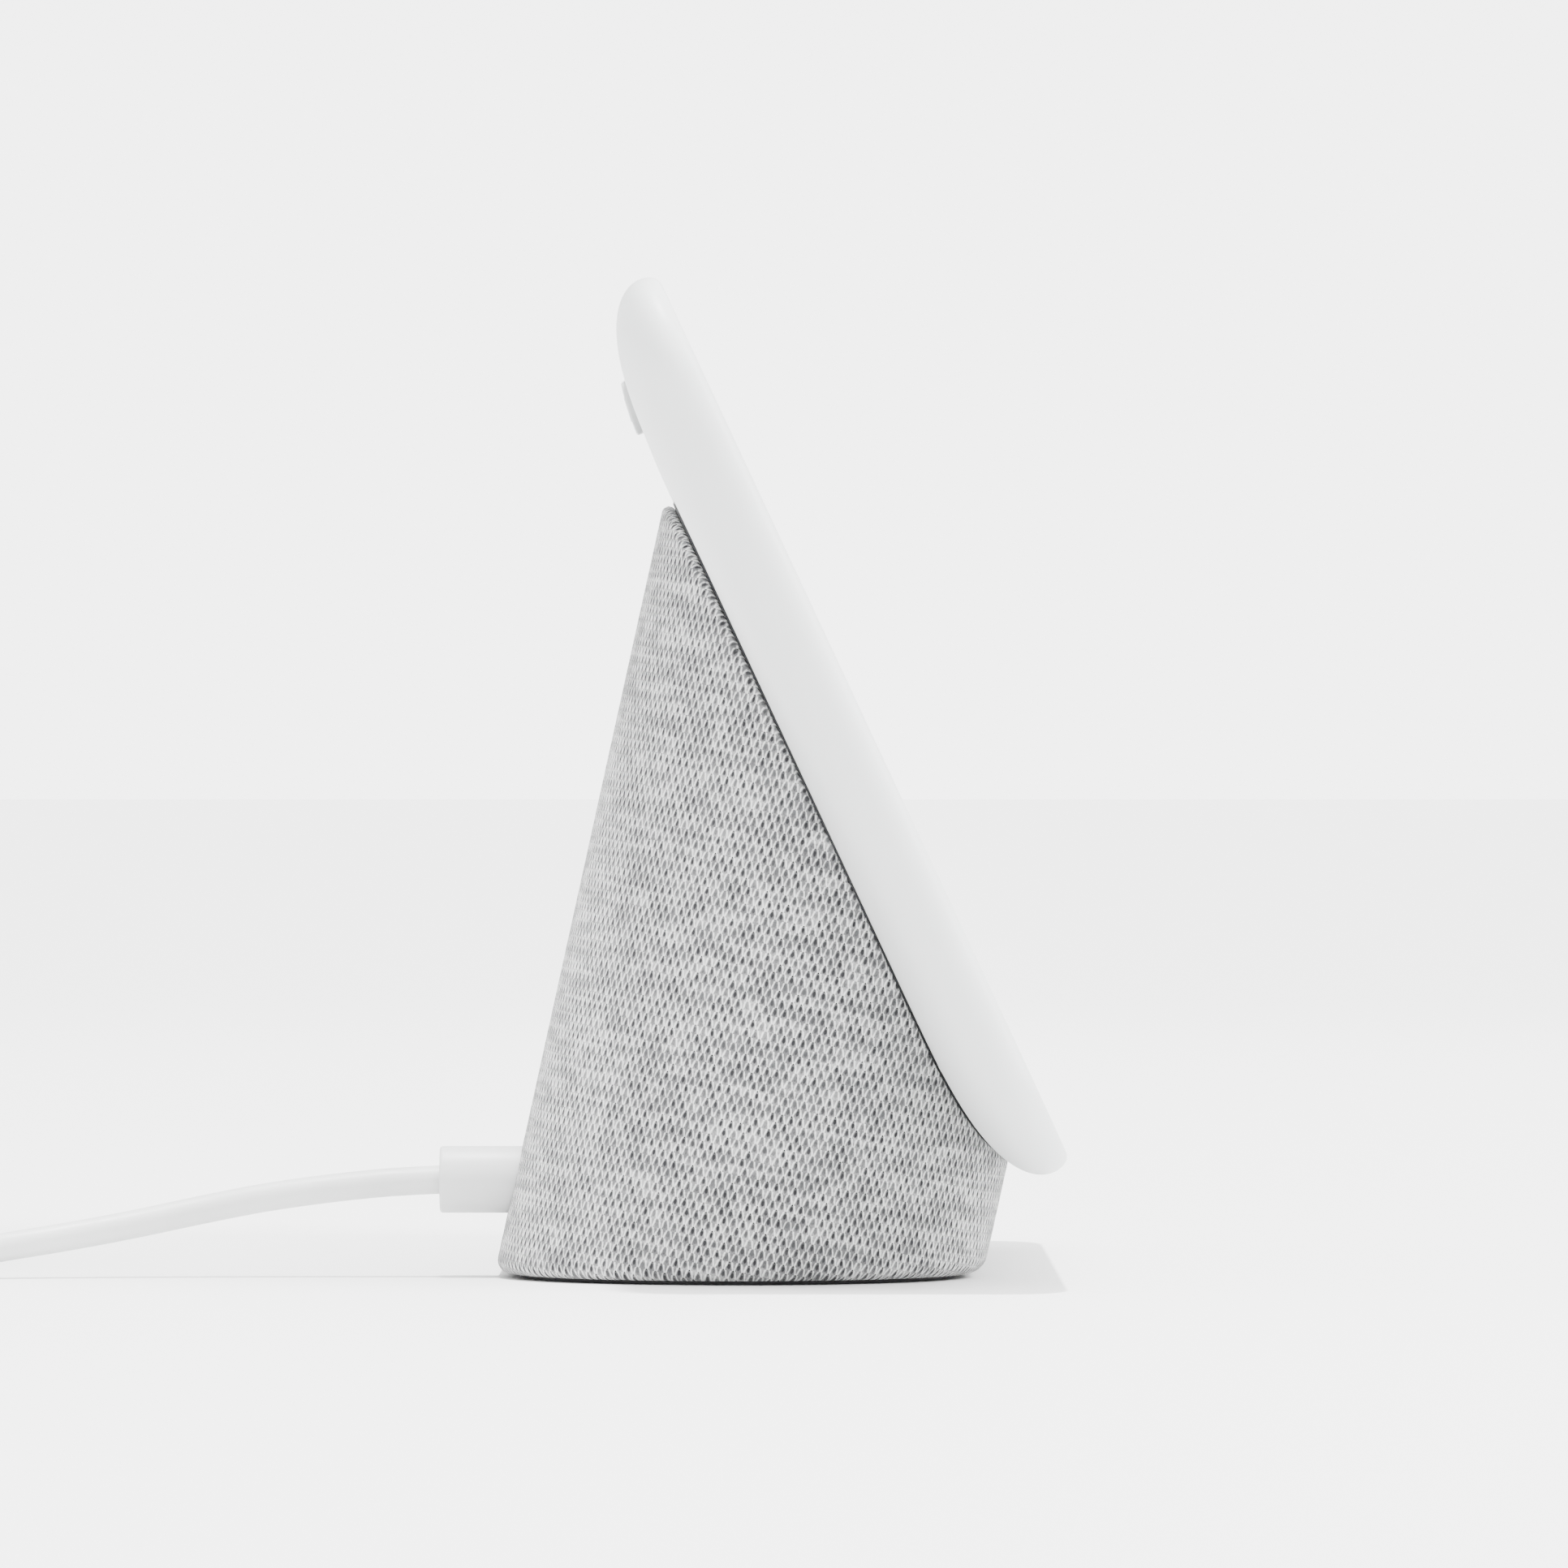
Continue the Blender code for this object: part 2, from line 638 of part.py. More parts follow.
def make_display_flex():
    """A ribbon from the panel, round the lower edge of the mid frame and up to the main board."""
    bm = bmesh.new()
    rows = [[bm.verts.new((x, up, depth)) for x in RIBBON_EDGES] for up, depth in RIBBON_RUN]
    for first, second in zip(rows, rows[1:]):
        bm.faces.new((first[0], first[1], second[1], second[0]))
    ribbon = mesh_object("display_flex", bm, "ribbon_amber", DISPLAY)
    modifier = ribbon.modifiers.new("thickness", "SOLIDIFY")
    modifier.thickness = RIBBON_THICKNESS
    modifier.offset = 0


def make_controls():
    flange_middle = sum(MUTE_FLANGE_LAYER) / 2
    slider = plate("mute_slider", level_stadium(*MUTE_CAP_SIZE), (MUTE_TOP, flange_middle),
                   "white_plastic", DISPLAY, location=(*MUTE_CENTRE, 0))
    flange = block("mute_flange", (*MUTE_FLANGE_SIZE, MUTE_FLANGE_LAYER[1] - MUTE_FLANGE_LAYER[0]),
                   (0, 0, flange_middle), None, DISPLAY, location=(*MUTE_CENTRE, 0))
    boolean(slider, flange, "UNION")
    panel("mute_switch_body", MUTE_BODY_SIZE, SWITCH_LAYER, "switch_black", DISPLAY, MUTE_CENTRE,
          radius=MUTE_BODY_CORNER, steps=1)

    pivot_depth = sum(ROCKER_FLANGE_LAYER) / 2
    pivot = (*ROCKER_CENTRE, pivot_depth)
    rocker = plate("volume_rocker", upright_stadium(*ROCKER_CAP_SIZE), (ROCKER_TOP - pivot_depth, 0),
                   "white_plastic", DISPLAY, location=pivot)
    wings = block("rocker_flange", ROCKER_FLANGE_SIZE, (0, 0, 0), None, DISPLAY, location=pivot)
    boolean(rocker, wings, "UNION")
    panel("button_board", BUTTON_BOARD_SIZE, SWITCH_LAYER, "board_green", DISPLAY, ROCKER_CENTRE)


def make_neck():
    bracket = panel("neck_bracket", BRACKET_SIZE, BRACKET_LAYER, "stamped_steel", DISPLAY, NECK_CENTRE,
                    radius=BRACKET_CORNER)
    opening = plate("bracket_opening", level_stadium(*NECK_OPENING), HOUSING_CUT_LAYER, None, DISPLAY,
                    NECK_CENTRE)
    boolean(bracket, opening)
    boolean(bracket, drills("bracket_screw_holes", neck_holes(), DISPLAY))
    head_seat = -(BACK_DEPTH + GAP + SHELL_WALL + GAP)
    for number, (x, up) in enumerate(neck_places(), 1):
        screw("neck_screw_%d" % number, SCREW_SHAFT_RADIUS, NECK_SCREW_LENGTH, SCREW_HEAD_RADIUS,
              NECK_SCREW_HEAD, DISPLAY, (x, up, head_seat), (math.pi, 0, 0))


def make_sleeve():
    centre_height = SLEEVE_BOTTOM + EDGE_ROUNDING
    thin = EDGE_ROUNDING - SLEEVE_THICKNESS
    outer = []
    inner = []
    for step in range(5):
        angle = math.radians(90) * (step / 4 - 1)
        across = math.cos(angle)
        down = math.sin(angle)
        outer.append(base_ring(-EDGE_ROUNDING + EDGE_ROUNDING * across,
                               centre_height + EDGE_ROUNDING * down))
        inner.append(base_ring(-EDGE_ROUNDING + thin * across, centre_height + thin * down))
    rings = [base_ring(-SLEEVE_LIP, SLEEVE_BOTTOM), *outer, base_ring(0, BASE_TOP),
             base_ring(-SLEEVE_THICKNESS, BASE_TOP), *inner[::-1],
             base_ring(-SLEEVE_LIP, SLEEVE_BOTTOM + SLEEVE_THICKNESS)]
    sleeve = loft("fabric_sleeve", rings, "heather_knit", closed_path=True)
    boolean(sleeve, display_clearance("sleeve_top_cut", GAP))
    boolean(sleeve, inlet_drill("sleeve_inlet_hole"))


def inlet_drill(name):
    centre = (INLET_X, INLET_DRILL_Y, INLET_Z)
    return drills(name, [(centre, PLUG_RADIUS + PLUG_CLEARANCE, INLET_DRILL_LENGTH)], None, "Y")


def make_base_shell():
    shell = loft("base_shell", [base_ring(SHELL_OFFSET, SHELL_BOTTOM), base_ring(SHELL_OFFSET, BASE_TOP)],
                 "shell_plastic")
    boolean(shell, display_clearance("shell_top_cut", GAP))
    hollow = loft("shell_hollow", [base_ring(SHELL_OFFSET - SHELL_WALL, SHELL_BOTTOM - SHELL_WALL),
                                   base_ring(SHELL_OFFSET - SHELL_WALL, BASE_TOP)], None)
    boolean(hollow, display_clearance("hollow_top_cut", GAP + SHELL_WALL))
    boolean(shell, hollow)
    boss_height = BOSS_TOP - SHELL_BOTTOM
    middle = SHELL_BOTTOM + boss_height / 2
    bosses = drills("shell_bosses", [((x, y, middle), BOSS_RADIUS, boss_height)
                                     for x, y in BASE_SCREW_PLACES], None, segments=12)
    boolean(shell, bosses, "UNION")
    boolean(shell, drills("boss_holes", [((x, y, middle), SCREW_HOLE_RADIUS, boss_height * 2)
                                         for x, y in BASE_SCREW_PLACES], None, segments=12))
    boolean(shell, speaker_slots())
    boolean(shell, inlet_drill("shell_inlet_hole"))
    boolean(shell, plate("shell_neck_opening", level_stadium(*NECK_OPENING), NECK_CUT_LAYER, None,
                         DISPLAY, NECK_CENTRE))
    boolean(shell, drills("shell_neck_holes", neck_holes(), DISPLAY, segments=12))
    boolean(shell, drills("shell_speaker_holes", speaker_holes(), SPEAKER, segments=12))


def speaker_slots():
    """Rows of slots that fill a round field, joined into one cutter."""
    bm = bmesh.new()
    for row in range(SLOT_COUNT):
        level = (row - (SLOT_COUNT - 1) / 2) * SLOT_PITCH
        half = math.sqrt(SLOT_FIELD_RADIUS ** 2 - level ** 2)
        size = Matrix.Diagonal((2 * half, SLOT_WIDTH, SPEAKER_CUT_DEPTH, 1))
        bmesh.ops.create_cube(bm, size=1.0, matrix=Matrix.Translation((0, level, 0)) @ size)
    return mesh_object("speaker_slots", bm, None, SPEAKER)


def speaker_places():
    return [(SPEAKER_SCREW_CIRCLE * math.cos(math.radians(45 + 90 * turn)),
             SPEAKER_SCREW_CIRCLE * math.sin(math.radians(45 + 90 * turn))) for turn in range(4)]


def speaker_holes():
    return [((x, y, 0), SPEAKER_HOLE_RADIUS, SPEAKER_CUT_DEPTH) for x, y in speaker_places()]


def make_base_bottom():
    rings = [base_ring(offset, PLATE_BOTTOM + rise) for offset, rise in PLATE_PROFILE]
    base_plate = loft("base_plate", [*rings, base_ring(SHELL_OFFSET, PLATE_TOP)], "shell_plastic")
    holes = [((x, y, PLATE_HOLE_MIDDLE), SCREW_HOLE_RADIUS, PLATE_HOLE_LENGTH)
             for x, y in BASE_SCREW_PLACES]
    boolean(base_plate, drills("plate_holes", holes, None, segments=12))
    middle = COUNTERBORE_TOP - COUNTERBORE_DEPTH / 2
    counterbores = [((x, y, middle), COUNTERBORE_RADIUS, COUNTERBORE_DEPTH) for x, y in BASE_SCREW_PLACES]
    boolean(base_plate, drills("plate_counterbores", counterbores, None, segments=12))
    plate("rubber_foot", stadium(BASE_HALF_FLAT, FOOT_RADIUS), (0, FOOT_TOP), "dark_rubber",
          centre=(0, BASE_CENTRE_Y))
    for number, (x, y) in enumerate(BASE_SCREW_PLACES, 1):
        screw("base_screw_%d" % number, SCREW_SHAFT_RADIUS, BASE_SCREW_LENGTH, SCREW_HEAD_RADIUS,
              BASE_SCREW_HEAD, None, (x, y, COUNTERBORE_TOP - GAP), (math.pi, 0, 0))
    block("ballast_plate", BALLAST_SIZE, BALLAST_CENTRE, "stamped_steel", bevel=BALLAST_EDGE,
          bevel_segments=1)


def make_speaker():
    gasket = turned("speaker_gasket", ring_profile(*GASKET_SECTION), "foam_black", SPEAKER, closed=True)
    boolean(gasket, drills("gasket_holes", speaker_holes(), SPEAKER, segments=12))
    frame = turned("speaker_frame", FRAME_PROFILE, "stamped_steel", SPEAKER, closed=True)
    boolean(frame, drills("frame_holes", speaker_holes(), SPEAKER, segments=12))
    boolean(frame, frame_windows())
    turned("speaker_top_plate", ring_profile(*TOP_PLATE_SECTION), "stamped_steel", SPEAKER, closed=True)
    turned("speaker_magnet", ring_profile(*MAGNET_SECTION), "ferrite", SPEAKER, closed=True)
    turned("speaker_yoke", YOKE_PROFILE, "stamped_steel", SPEAKER)
    turned("speaker_cone", CONE_PROFILE, "pressed_paper", SPEAKER, closed=True)
    turned("voice_coil", ring_profile(*COIL_SECTION), "copper_winding", SPEAKER, closed=True)
    make_dust_cap()
    make_surround()
    make_spider()
    for number, (x, y) in enumerate(speaker_places(), 1):
        screw("speaker_screw_%d" % number, *SPEAKER_SCREW, SPEAKER, (x, y, SPEAKER_SCREW_SEAT),
              (math.pi, 0, 0))


def frame_windows():
    """Two crossed blocks that open four windows in the side of the frame."""
    bm = bmesh.new()
    lift = Matrix.Translation((0, 0, FRAME_WINDOW_LEVEL))
    size = Matrix.Diagonal((*FRAME_WINDOW_SIZE, 1))
    for turn in range(2):
        across = Matrix.Rotation(math.radians(90 * turn), 4, "Z")
        bmesh.ops.create_cube(bm, size=1.0, matrix=across @ lift @ size)
    return mesh_object("frame_windows", bm, None, SPEAKER)


def make_dust_cap():
    dome = []
    for step in range(6):
        angle = math.radians(step * 18)
        dome.append((DUST_CAP_RADIUS * math.sin(angle), DUST_CAP_LEVEL + DUST_CAP_RISE * math.cos(angle)))
    under = [(max(radius - DUST_CAP_THICKNESS, 0), height - DUST_CAP_THICKNESS)
             for radius, height in reversed(dome)]
    turned("speaker_dust_cap", [*dome, *under], "pressed_paper", SPEAKER)


def make_surround():
    """A half roll of rubber between the cone and the frame."""
    roll = []
    for radius, angles in zip(SURROUND_RADII, (range(0, 181, 30), range(180, -1, -30))):
        roll.extend((SURROUND_CIRCLE + radius * math.cos(math.radians(angle)),
                     SURROUND_LEVEL + radius * math.sin(math.radians(angle))) for angle in angles)
    turned("speaker_surround", roll[::-1], "dark_rubber", SPEAKER, closed=True)


def make_spider():
    """A corrugated cloth ring that centres the voice coil."""
    wave = [(SPIDER_OUTER - SPIDER_WIDTH * step / (SPIDER_POINTS - 1),
             SPIDER_LEVEL + SPIDER_WAVE * math.cos(math.pi * step)) for step in range(SPIDER_POINTS)]
    under = [(radius, height - SPIDER_THICKNESS) for radius, height in wave]
    turned("speaker_spider", [*under, *wave[::-1]], "spider_cloth", SPEAKER, closed=True)


def make_power_inlet():
    jack_centre = (INLET_X, JACK_FACE_Y - JACK_SIZE[1] / 2, INLET_Z)
    jack = block("dc_jack", JACK_SIZE, jack_centre, "switch_black")
    bore_depth = JACK_SIZE[1] - JACK_BACK_WALL
    bore = ((INLET_X, JACK_FACE_Y, INLET_Z), JACK_BORE_RADIUS, 2 * bore_depth)
    boolean(jack, drills("jack_bore", [bore], None, "Y"))
    pin_length = bore_depth - PIN_CLEARANCE
    pin = ((0, pin_length), (PIN_RADIUS / 2, pin_length), (PIN_RADIUS, pin_length - PIN_TIP),
           (PIN_RADIUS, 0), (0, 0))
    foot = (INLET_X, JACK_FACE_Y - bore_depth + GAP, INLET_Z)
    turned("jack_pin", pin, "nickel", None, 10, False, foot, (math.radians(-90), 0, 0))
    block("power_board", POWER_BOARD_SIZE, POWER_BOARD_CENTRE, "board_green")
    harness = [*HARNESS_IN_BASE, *(display_point(*point) for point in HARNESS_IN_DISPLAY)]
    tube("power_harness", harness, HARNESS_RADIUS, "wire_jacket", HARNESS_SPACING)
    lead = [*LEAD_IN_BASE, *(display_point(*point) for point in LEAD_IN_DISPLAY)]
    tube("speaker_lead", lead, LEAD_RADIUS, "wire_jacket", LEAD_SPACING)


def make_plug():
    nose_y = JACK_FACE_Y + GAP
    length = PLUG_END_Y - nose_y
    edge = PLUG_EDGE
    half_edge = edge / 3
    toward_cord = (math.radians(-90), 0, 0)
    overmould = ((0, length), (PLUG_RADIUS - edge, length), (PLUG_RADIUS - half_edge, length - half_edge),
                 (PLUG_RADIUS, length - edge), (PLUG_RADIUS, edge), (PLUG_RADIUS - edge, 0), (0, 0))
    turned("plug_overmould", overmould, "cord_white", None, 28, False, (INLET_X, nose_y, INLET_Z),
           toward_cord)
    barrel = ring_profile(BARREL_BORE_RADIUS, BARREL_RADIUS, -BARREL_LENGTH, -GAP)
    turned("plug_barrel", barrel, "nickel", None, 20, True, (INLET_X, nose_y, INLET_Z), toward_cord)


def make_cord():
    tube("power_cord", LEAD_ROUTE, CORD_RADIUS, "cord_white", CORD_POINT_SPACING)
    tube("cord_tail", TAIL_ROUTE, CORD_RADIUS, "cord_white", CORD_POINT_SPACING)
    half_width = COIL_HALF_WIDTH - COIL_CORNER
    half_height = COIL_HEIGHT / 2 - COIL_CORNER
    ring = []
    for corner, (side, level) in enumerate(((1, 1), (1, -1), (-1, -1), (-1, 1))):
        for step in range(3):
            angle = math.radians(90 - 90 * corner - 45 * step)
            ring.append((COIL_TURN_RADIUS + side * half_width + COIL_CORNER * math.cos(angle),
                         level * half_height + COIL_CORNER * math.sin(angle)))
    turned("cord_coil", ring, "cord_white", None, 36, True, (*COIL_CENTRE, COIL_MIDDLE_HEIGHT))


def make_coil_tie():
    """A strap round the bundle of turns, on the coil's far side from the adapter."""
    centre = Vector((COIL_CENTRE[0] - COIL_TURN_RADIUS, COIL_CENTRE[1], COIL_MIDDLE_HEIGHT))
    inner, outer = (rounded_rectangle(COIL_HALF_WIDTH + 2 * GAP + grow, COIL_HEIGHT / 2 + GAP + grow,
                                      COIL_CORNER + grow, 3) for grow in (0, TIE_THICKNESS))
    rings = []
    for outline, side in ((outer, -1), (outer, 1), (inner, 1), (inner, -1)):
        rings.append([centre + Vector((point.x, side * TIE_WIDTH / 2, point.y)) for point in outline])
    loft("coil_tie", rings, "dark_rubber", closed_path=True)


def make_adapter():
    x, y = ADAPTER_CENTRE
    height = ADAPTER_SIZE[2]
    block("adapter_body", ADAPTER_SIZE, (x, y, height / 2), "white_plastic", bevel=ADAPTER_EDGE,
          bevel_segments=3)
    turned("adapter_relief", RELIEF_PROFILE, "cord_white", None, 16, False,
           (x, y + ADAPTER_SIZE[1] / 2 + GAP, height / 2), (math.radians(-90), 0, 0))
    for name, side in (("adapter_prong_left", -1), ("adapter_prong_right", 1)):
        centre = (x + side * PRONG_SPREAD, y, height + GAP + PRONG_SIZE[2] / 2)
        block(name, PRONG_SIZE, centre, "nickel", bevel=PRONG_EDGE, bevel_segments=1)


clear_scene()
PARTS = new_collection("smart_display_speaker")
CUTTERS = new_collection("cutters")
DISPLAY = frame_empty("display_frame", DISPLAY_CENTRE, (math.radians(90) - DISPLAY_TILT, 0, 0))
DISPLAY_PLACE = Matrix.Translation(DISPLAY_CENTRE) @ Matrix.Rotation(math.radians(90) - DISPLAY_TILT, 4, "X")
WALL_INSIDE_Y = BASE_CENTRE_Y - BASE_LEAN * SPEAKER_HEIGHT + BASE_RADIUS + SHELL_OFFSET - SHELL_WALL
SPEAKER = frame_empty("speaker_frame_axis", (0, WALL_INSIDE_Y, SPEAKER_HEIGHT),
                      (math.atan(BASE_LEAN) - math.radians(90), 0, 0))
make_rear_housing()
make_display_stack()
make_controls()
make_neck()
make_sleeve()
make_base_shell()
make_base_bottom()
make_speaker()
make_power_inlet()
make_plug()
make_cord()
make_coil_tie()
make_adapter()
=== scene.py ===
"""Looks of a tilted smart display on a knit-covered speaker base, with its cord and wall adapter."""
import functools
import logging
import math
from dataclasses import dataclass, field
from enum import Enum
from typing import Callable, Optional, Sequence

import bmesh
import bpy
from mathutils import Matrix, Vector


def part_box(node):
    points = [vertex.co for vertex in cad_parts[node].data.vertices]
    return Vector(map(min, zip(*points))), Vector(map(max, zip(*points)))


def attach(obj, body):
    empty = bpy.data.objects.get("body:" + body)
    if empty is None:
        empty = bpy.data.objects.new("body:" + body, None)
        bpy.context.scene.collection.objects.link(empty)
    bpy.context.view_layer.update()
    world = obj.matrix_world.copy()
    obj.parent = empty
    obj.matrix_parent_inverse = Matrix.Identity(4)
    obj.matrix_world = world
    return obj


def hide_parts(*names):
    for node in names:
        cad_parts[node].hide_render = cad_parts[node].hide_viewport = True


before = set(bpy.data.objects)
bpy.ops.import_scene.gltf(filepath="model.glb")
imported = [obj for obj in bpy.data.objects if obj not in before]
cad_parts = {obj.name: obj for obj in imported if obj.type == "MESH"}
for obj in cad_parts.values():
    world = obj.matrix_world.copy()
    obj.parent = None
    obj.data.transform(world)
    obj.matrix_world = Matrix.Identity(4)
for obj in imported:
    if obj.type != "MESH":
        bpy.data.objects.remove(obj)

LOG = logging.getLogger("smart_display")
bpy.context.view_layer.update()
GAP = 0.0003
TOUCHING = 1e-6

Outline = list[Vector]


# ---- Node graphs and finishes ---------------------------------------------------------------------


class Graph:
    """A material's node tree, with short calls that add nodes and join them."""

    def __init__(self, name: str) -> None:
        """Start a material that holds one Principled shader.

        Args:
            name: The material's name.
        """
        self.material = bpy.data.materials.new(name + "_finish")
        self.material.use_nodes = True
        self.tree = self.material.node_tree
        self.shader = self.tree.nodes["Principled BSDF"]

    def add(self, kind: str, inputs: Optional[dict] = None, **settings: object) -> bpy.types.Node:
        """Add a node.

        Args:
            kind: The node's type name, without its ShaderNode prefix.
            inputs: Values or sockets, by the name or index of the input.
            settings: Properties of the node itself.

        Returns:
            The new node.
        """
        node = self.tree.nodes.new("ShaderNode" + kind)
        for key, value in settings.items():
            setattr(node, key, value)
        for key, value in (inputs or {}).items():
            self.feed(node.inputs[key], value)
        return node

    def feed(self, socket: bpy.types.NodeSocket, value: object) -> None:
        """Join a socket to an output, or set its value."""
        if isinstance(value, bpy.types.NodeSocket):
            self.tree.links.new(value, socket)
        else:
            socket.default_value = value

    def math(self, operation: str, first: object, second: object = 0.0, clamp: bool = False):
        """Return the result of a math node on two values."""
        return self.add("Math", {0: first, 1: second}, operation=operation, use_clamp=clamp).outputs[0]

    def span(self, value: object, low: float, high: float, to_low: float = 0.0, to_high: float = 1.0):
        """Return a value mapped smoothly from one range to another, and held at its ends."""
        node = self.add("MapRange", {"Value": value, "From Min": low, "From Max": high,
                                     "To Min": to_low, "To Max": to_high},
                        interpolation_type="SMOOTHSTEP")
        return node.outputs["Result"]

    def mix(self, factor: object, first: object, second: object):
        """Return a colour mixed from two others."""
        node = self.add("Mix", {"Factor": factor}, data_type="RGBA")
        self.feed(node.inputs[6], first)
        self.feed(node.inputs[7], second)
        return node.outputs[2]

    def noise(self, vector: object, scale: float, detail: float = 2.0, roughness: float = 0.5):
        """Return the height of a noise texture."""
        node = self.add("TexNoise", {"Vector": vector, "Scale": scale, "Detail": detail,
                                     "Roughness": roughness})
        return node.outputs[0]

    def place(self, source: str = "Object", scale: Sequence[float] = (1, 1, 1),
              turn: Sequence[float] = (0, 0, 0), centre: Sequence[float] = (0, 0, 0)):
        """Return coordinates of the piece, moved to a centre, turned and scaled."""
        coordinates = self.add("TexCoord").outputs[source]
        moved = self.add("VectorMath", {0: coordinates, 1: tuple(centre)}, operation="SUBTRACT")
        mapping = self.add("Mapping", {"Vector": moved.outputs[0], "Rotation": tuple(turn),
                                       "Scale": tuple(scale)})
        return mapping.outputs[0]

    def bump(self, height: object, distance: float, strength: float = 1.0, under: object = None) -> None:
        """Give the shader a relief, in metres of height."""
        node = self.add("Bump", {"Height": height, "Distance": distance, "Strength": strength})
        if under is not None:
            self.feed(node.inputs["Normal"], under)
        self.tree.links.new(node.outputs[0], self.shader.inputs["Normal"])

    def set(self, **values: object) -> None:
        """Set the shader's inputs, with underscores for spaces in their names."""
        for key, value in values.items():
            self.feed(self.shader.inputs[key.replace("_", " ")], value)


Colour = tuple[float, float, float, float]


def tint(red: float, green: float, blue: float) -> Colour:
    """Return an opaque linear colour."""
    return (red, green, blue, 1.0)


def shaded(colour: Colour, factor: float, lift: float = 0.0) -> Colour:
    """Return a colour made darker or paler by a factor, and lifted by an amount."""
    return tint(*(value * factor + lift for value in colour[:3]))


@dataclass(frozen=True)
class MouldedPlastic:
    """Spark-eroded moulded plastic: a fine grain, with its gloss a little uneven."""

    name: str
    colour: Colour
    roughness: float = 0.42
    grain_size: float = 0.00022
    grain_depth: float = 0.000006
    gloss_patch: float = 0.03
    shade_spread: float = 0.02

    def build(self) -> bpy.types.Material:
        """Return the finish as a material."""
        graph = Graph(self.name)
        place = graph.place()
        patches = graph.noise(place, 1 / self.gloss_patch, 3.0)
        grain = graph.noise(place, 1 / self.grain_size, 2.0, 0.6)
        dark = shaded(self.colour, 1 - 2 * self.shade_spread)
        graph.set(Base_Color=graph.mix(graph.span(patches, 0.3, 0.7), dark, self.colour),
                  Roughness=graph.span(patches, 0.25, 0.75, self.roughness - 0.05, self.roughness + 0.05))
        graph.bump(grain, self.grain_depth)
        return graph.material


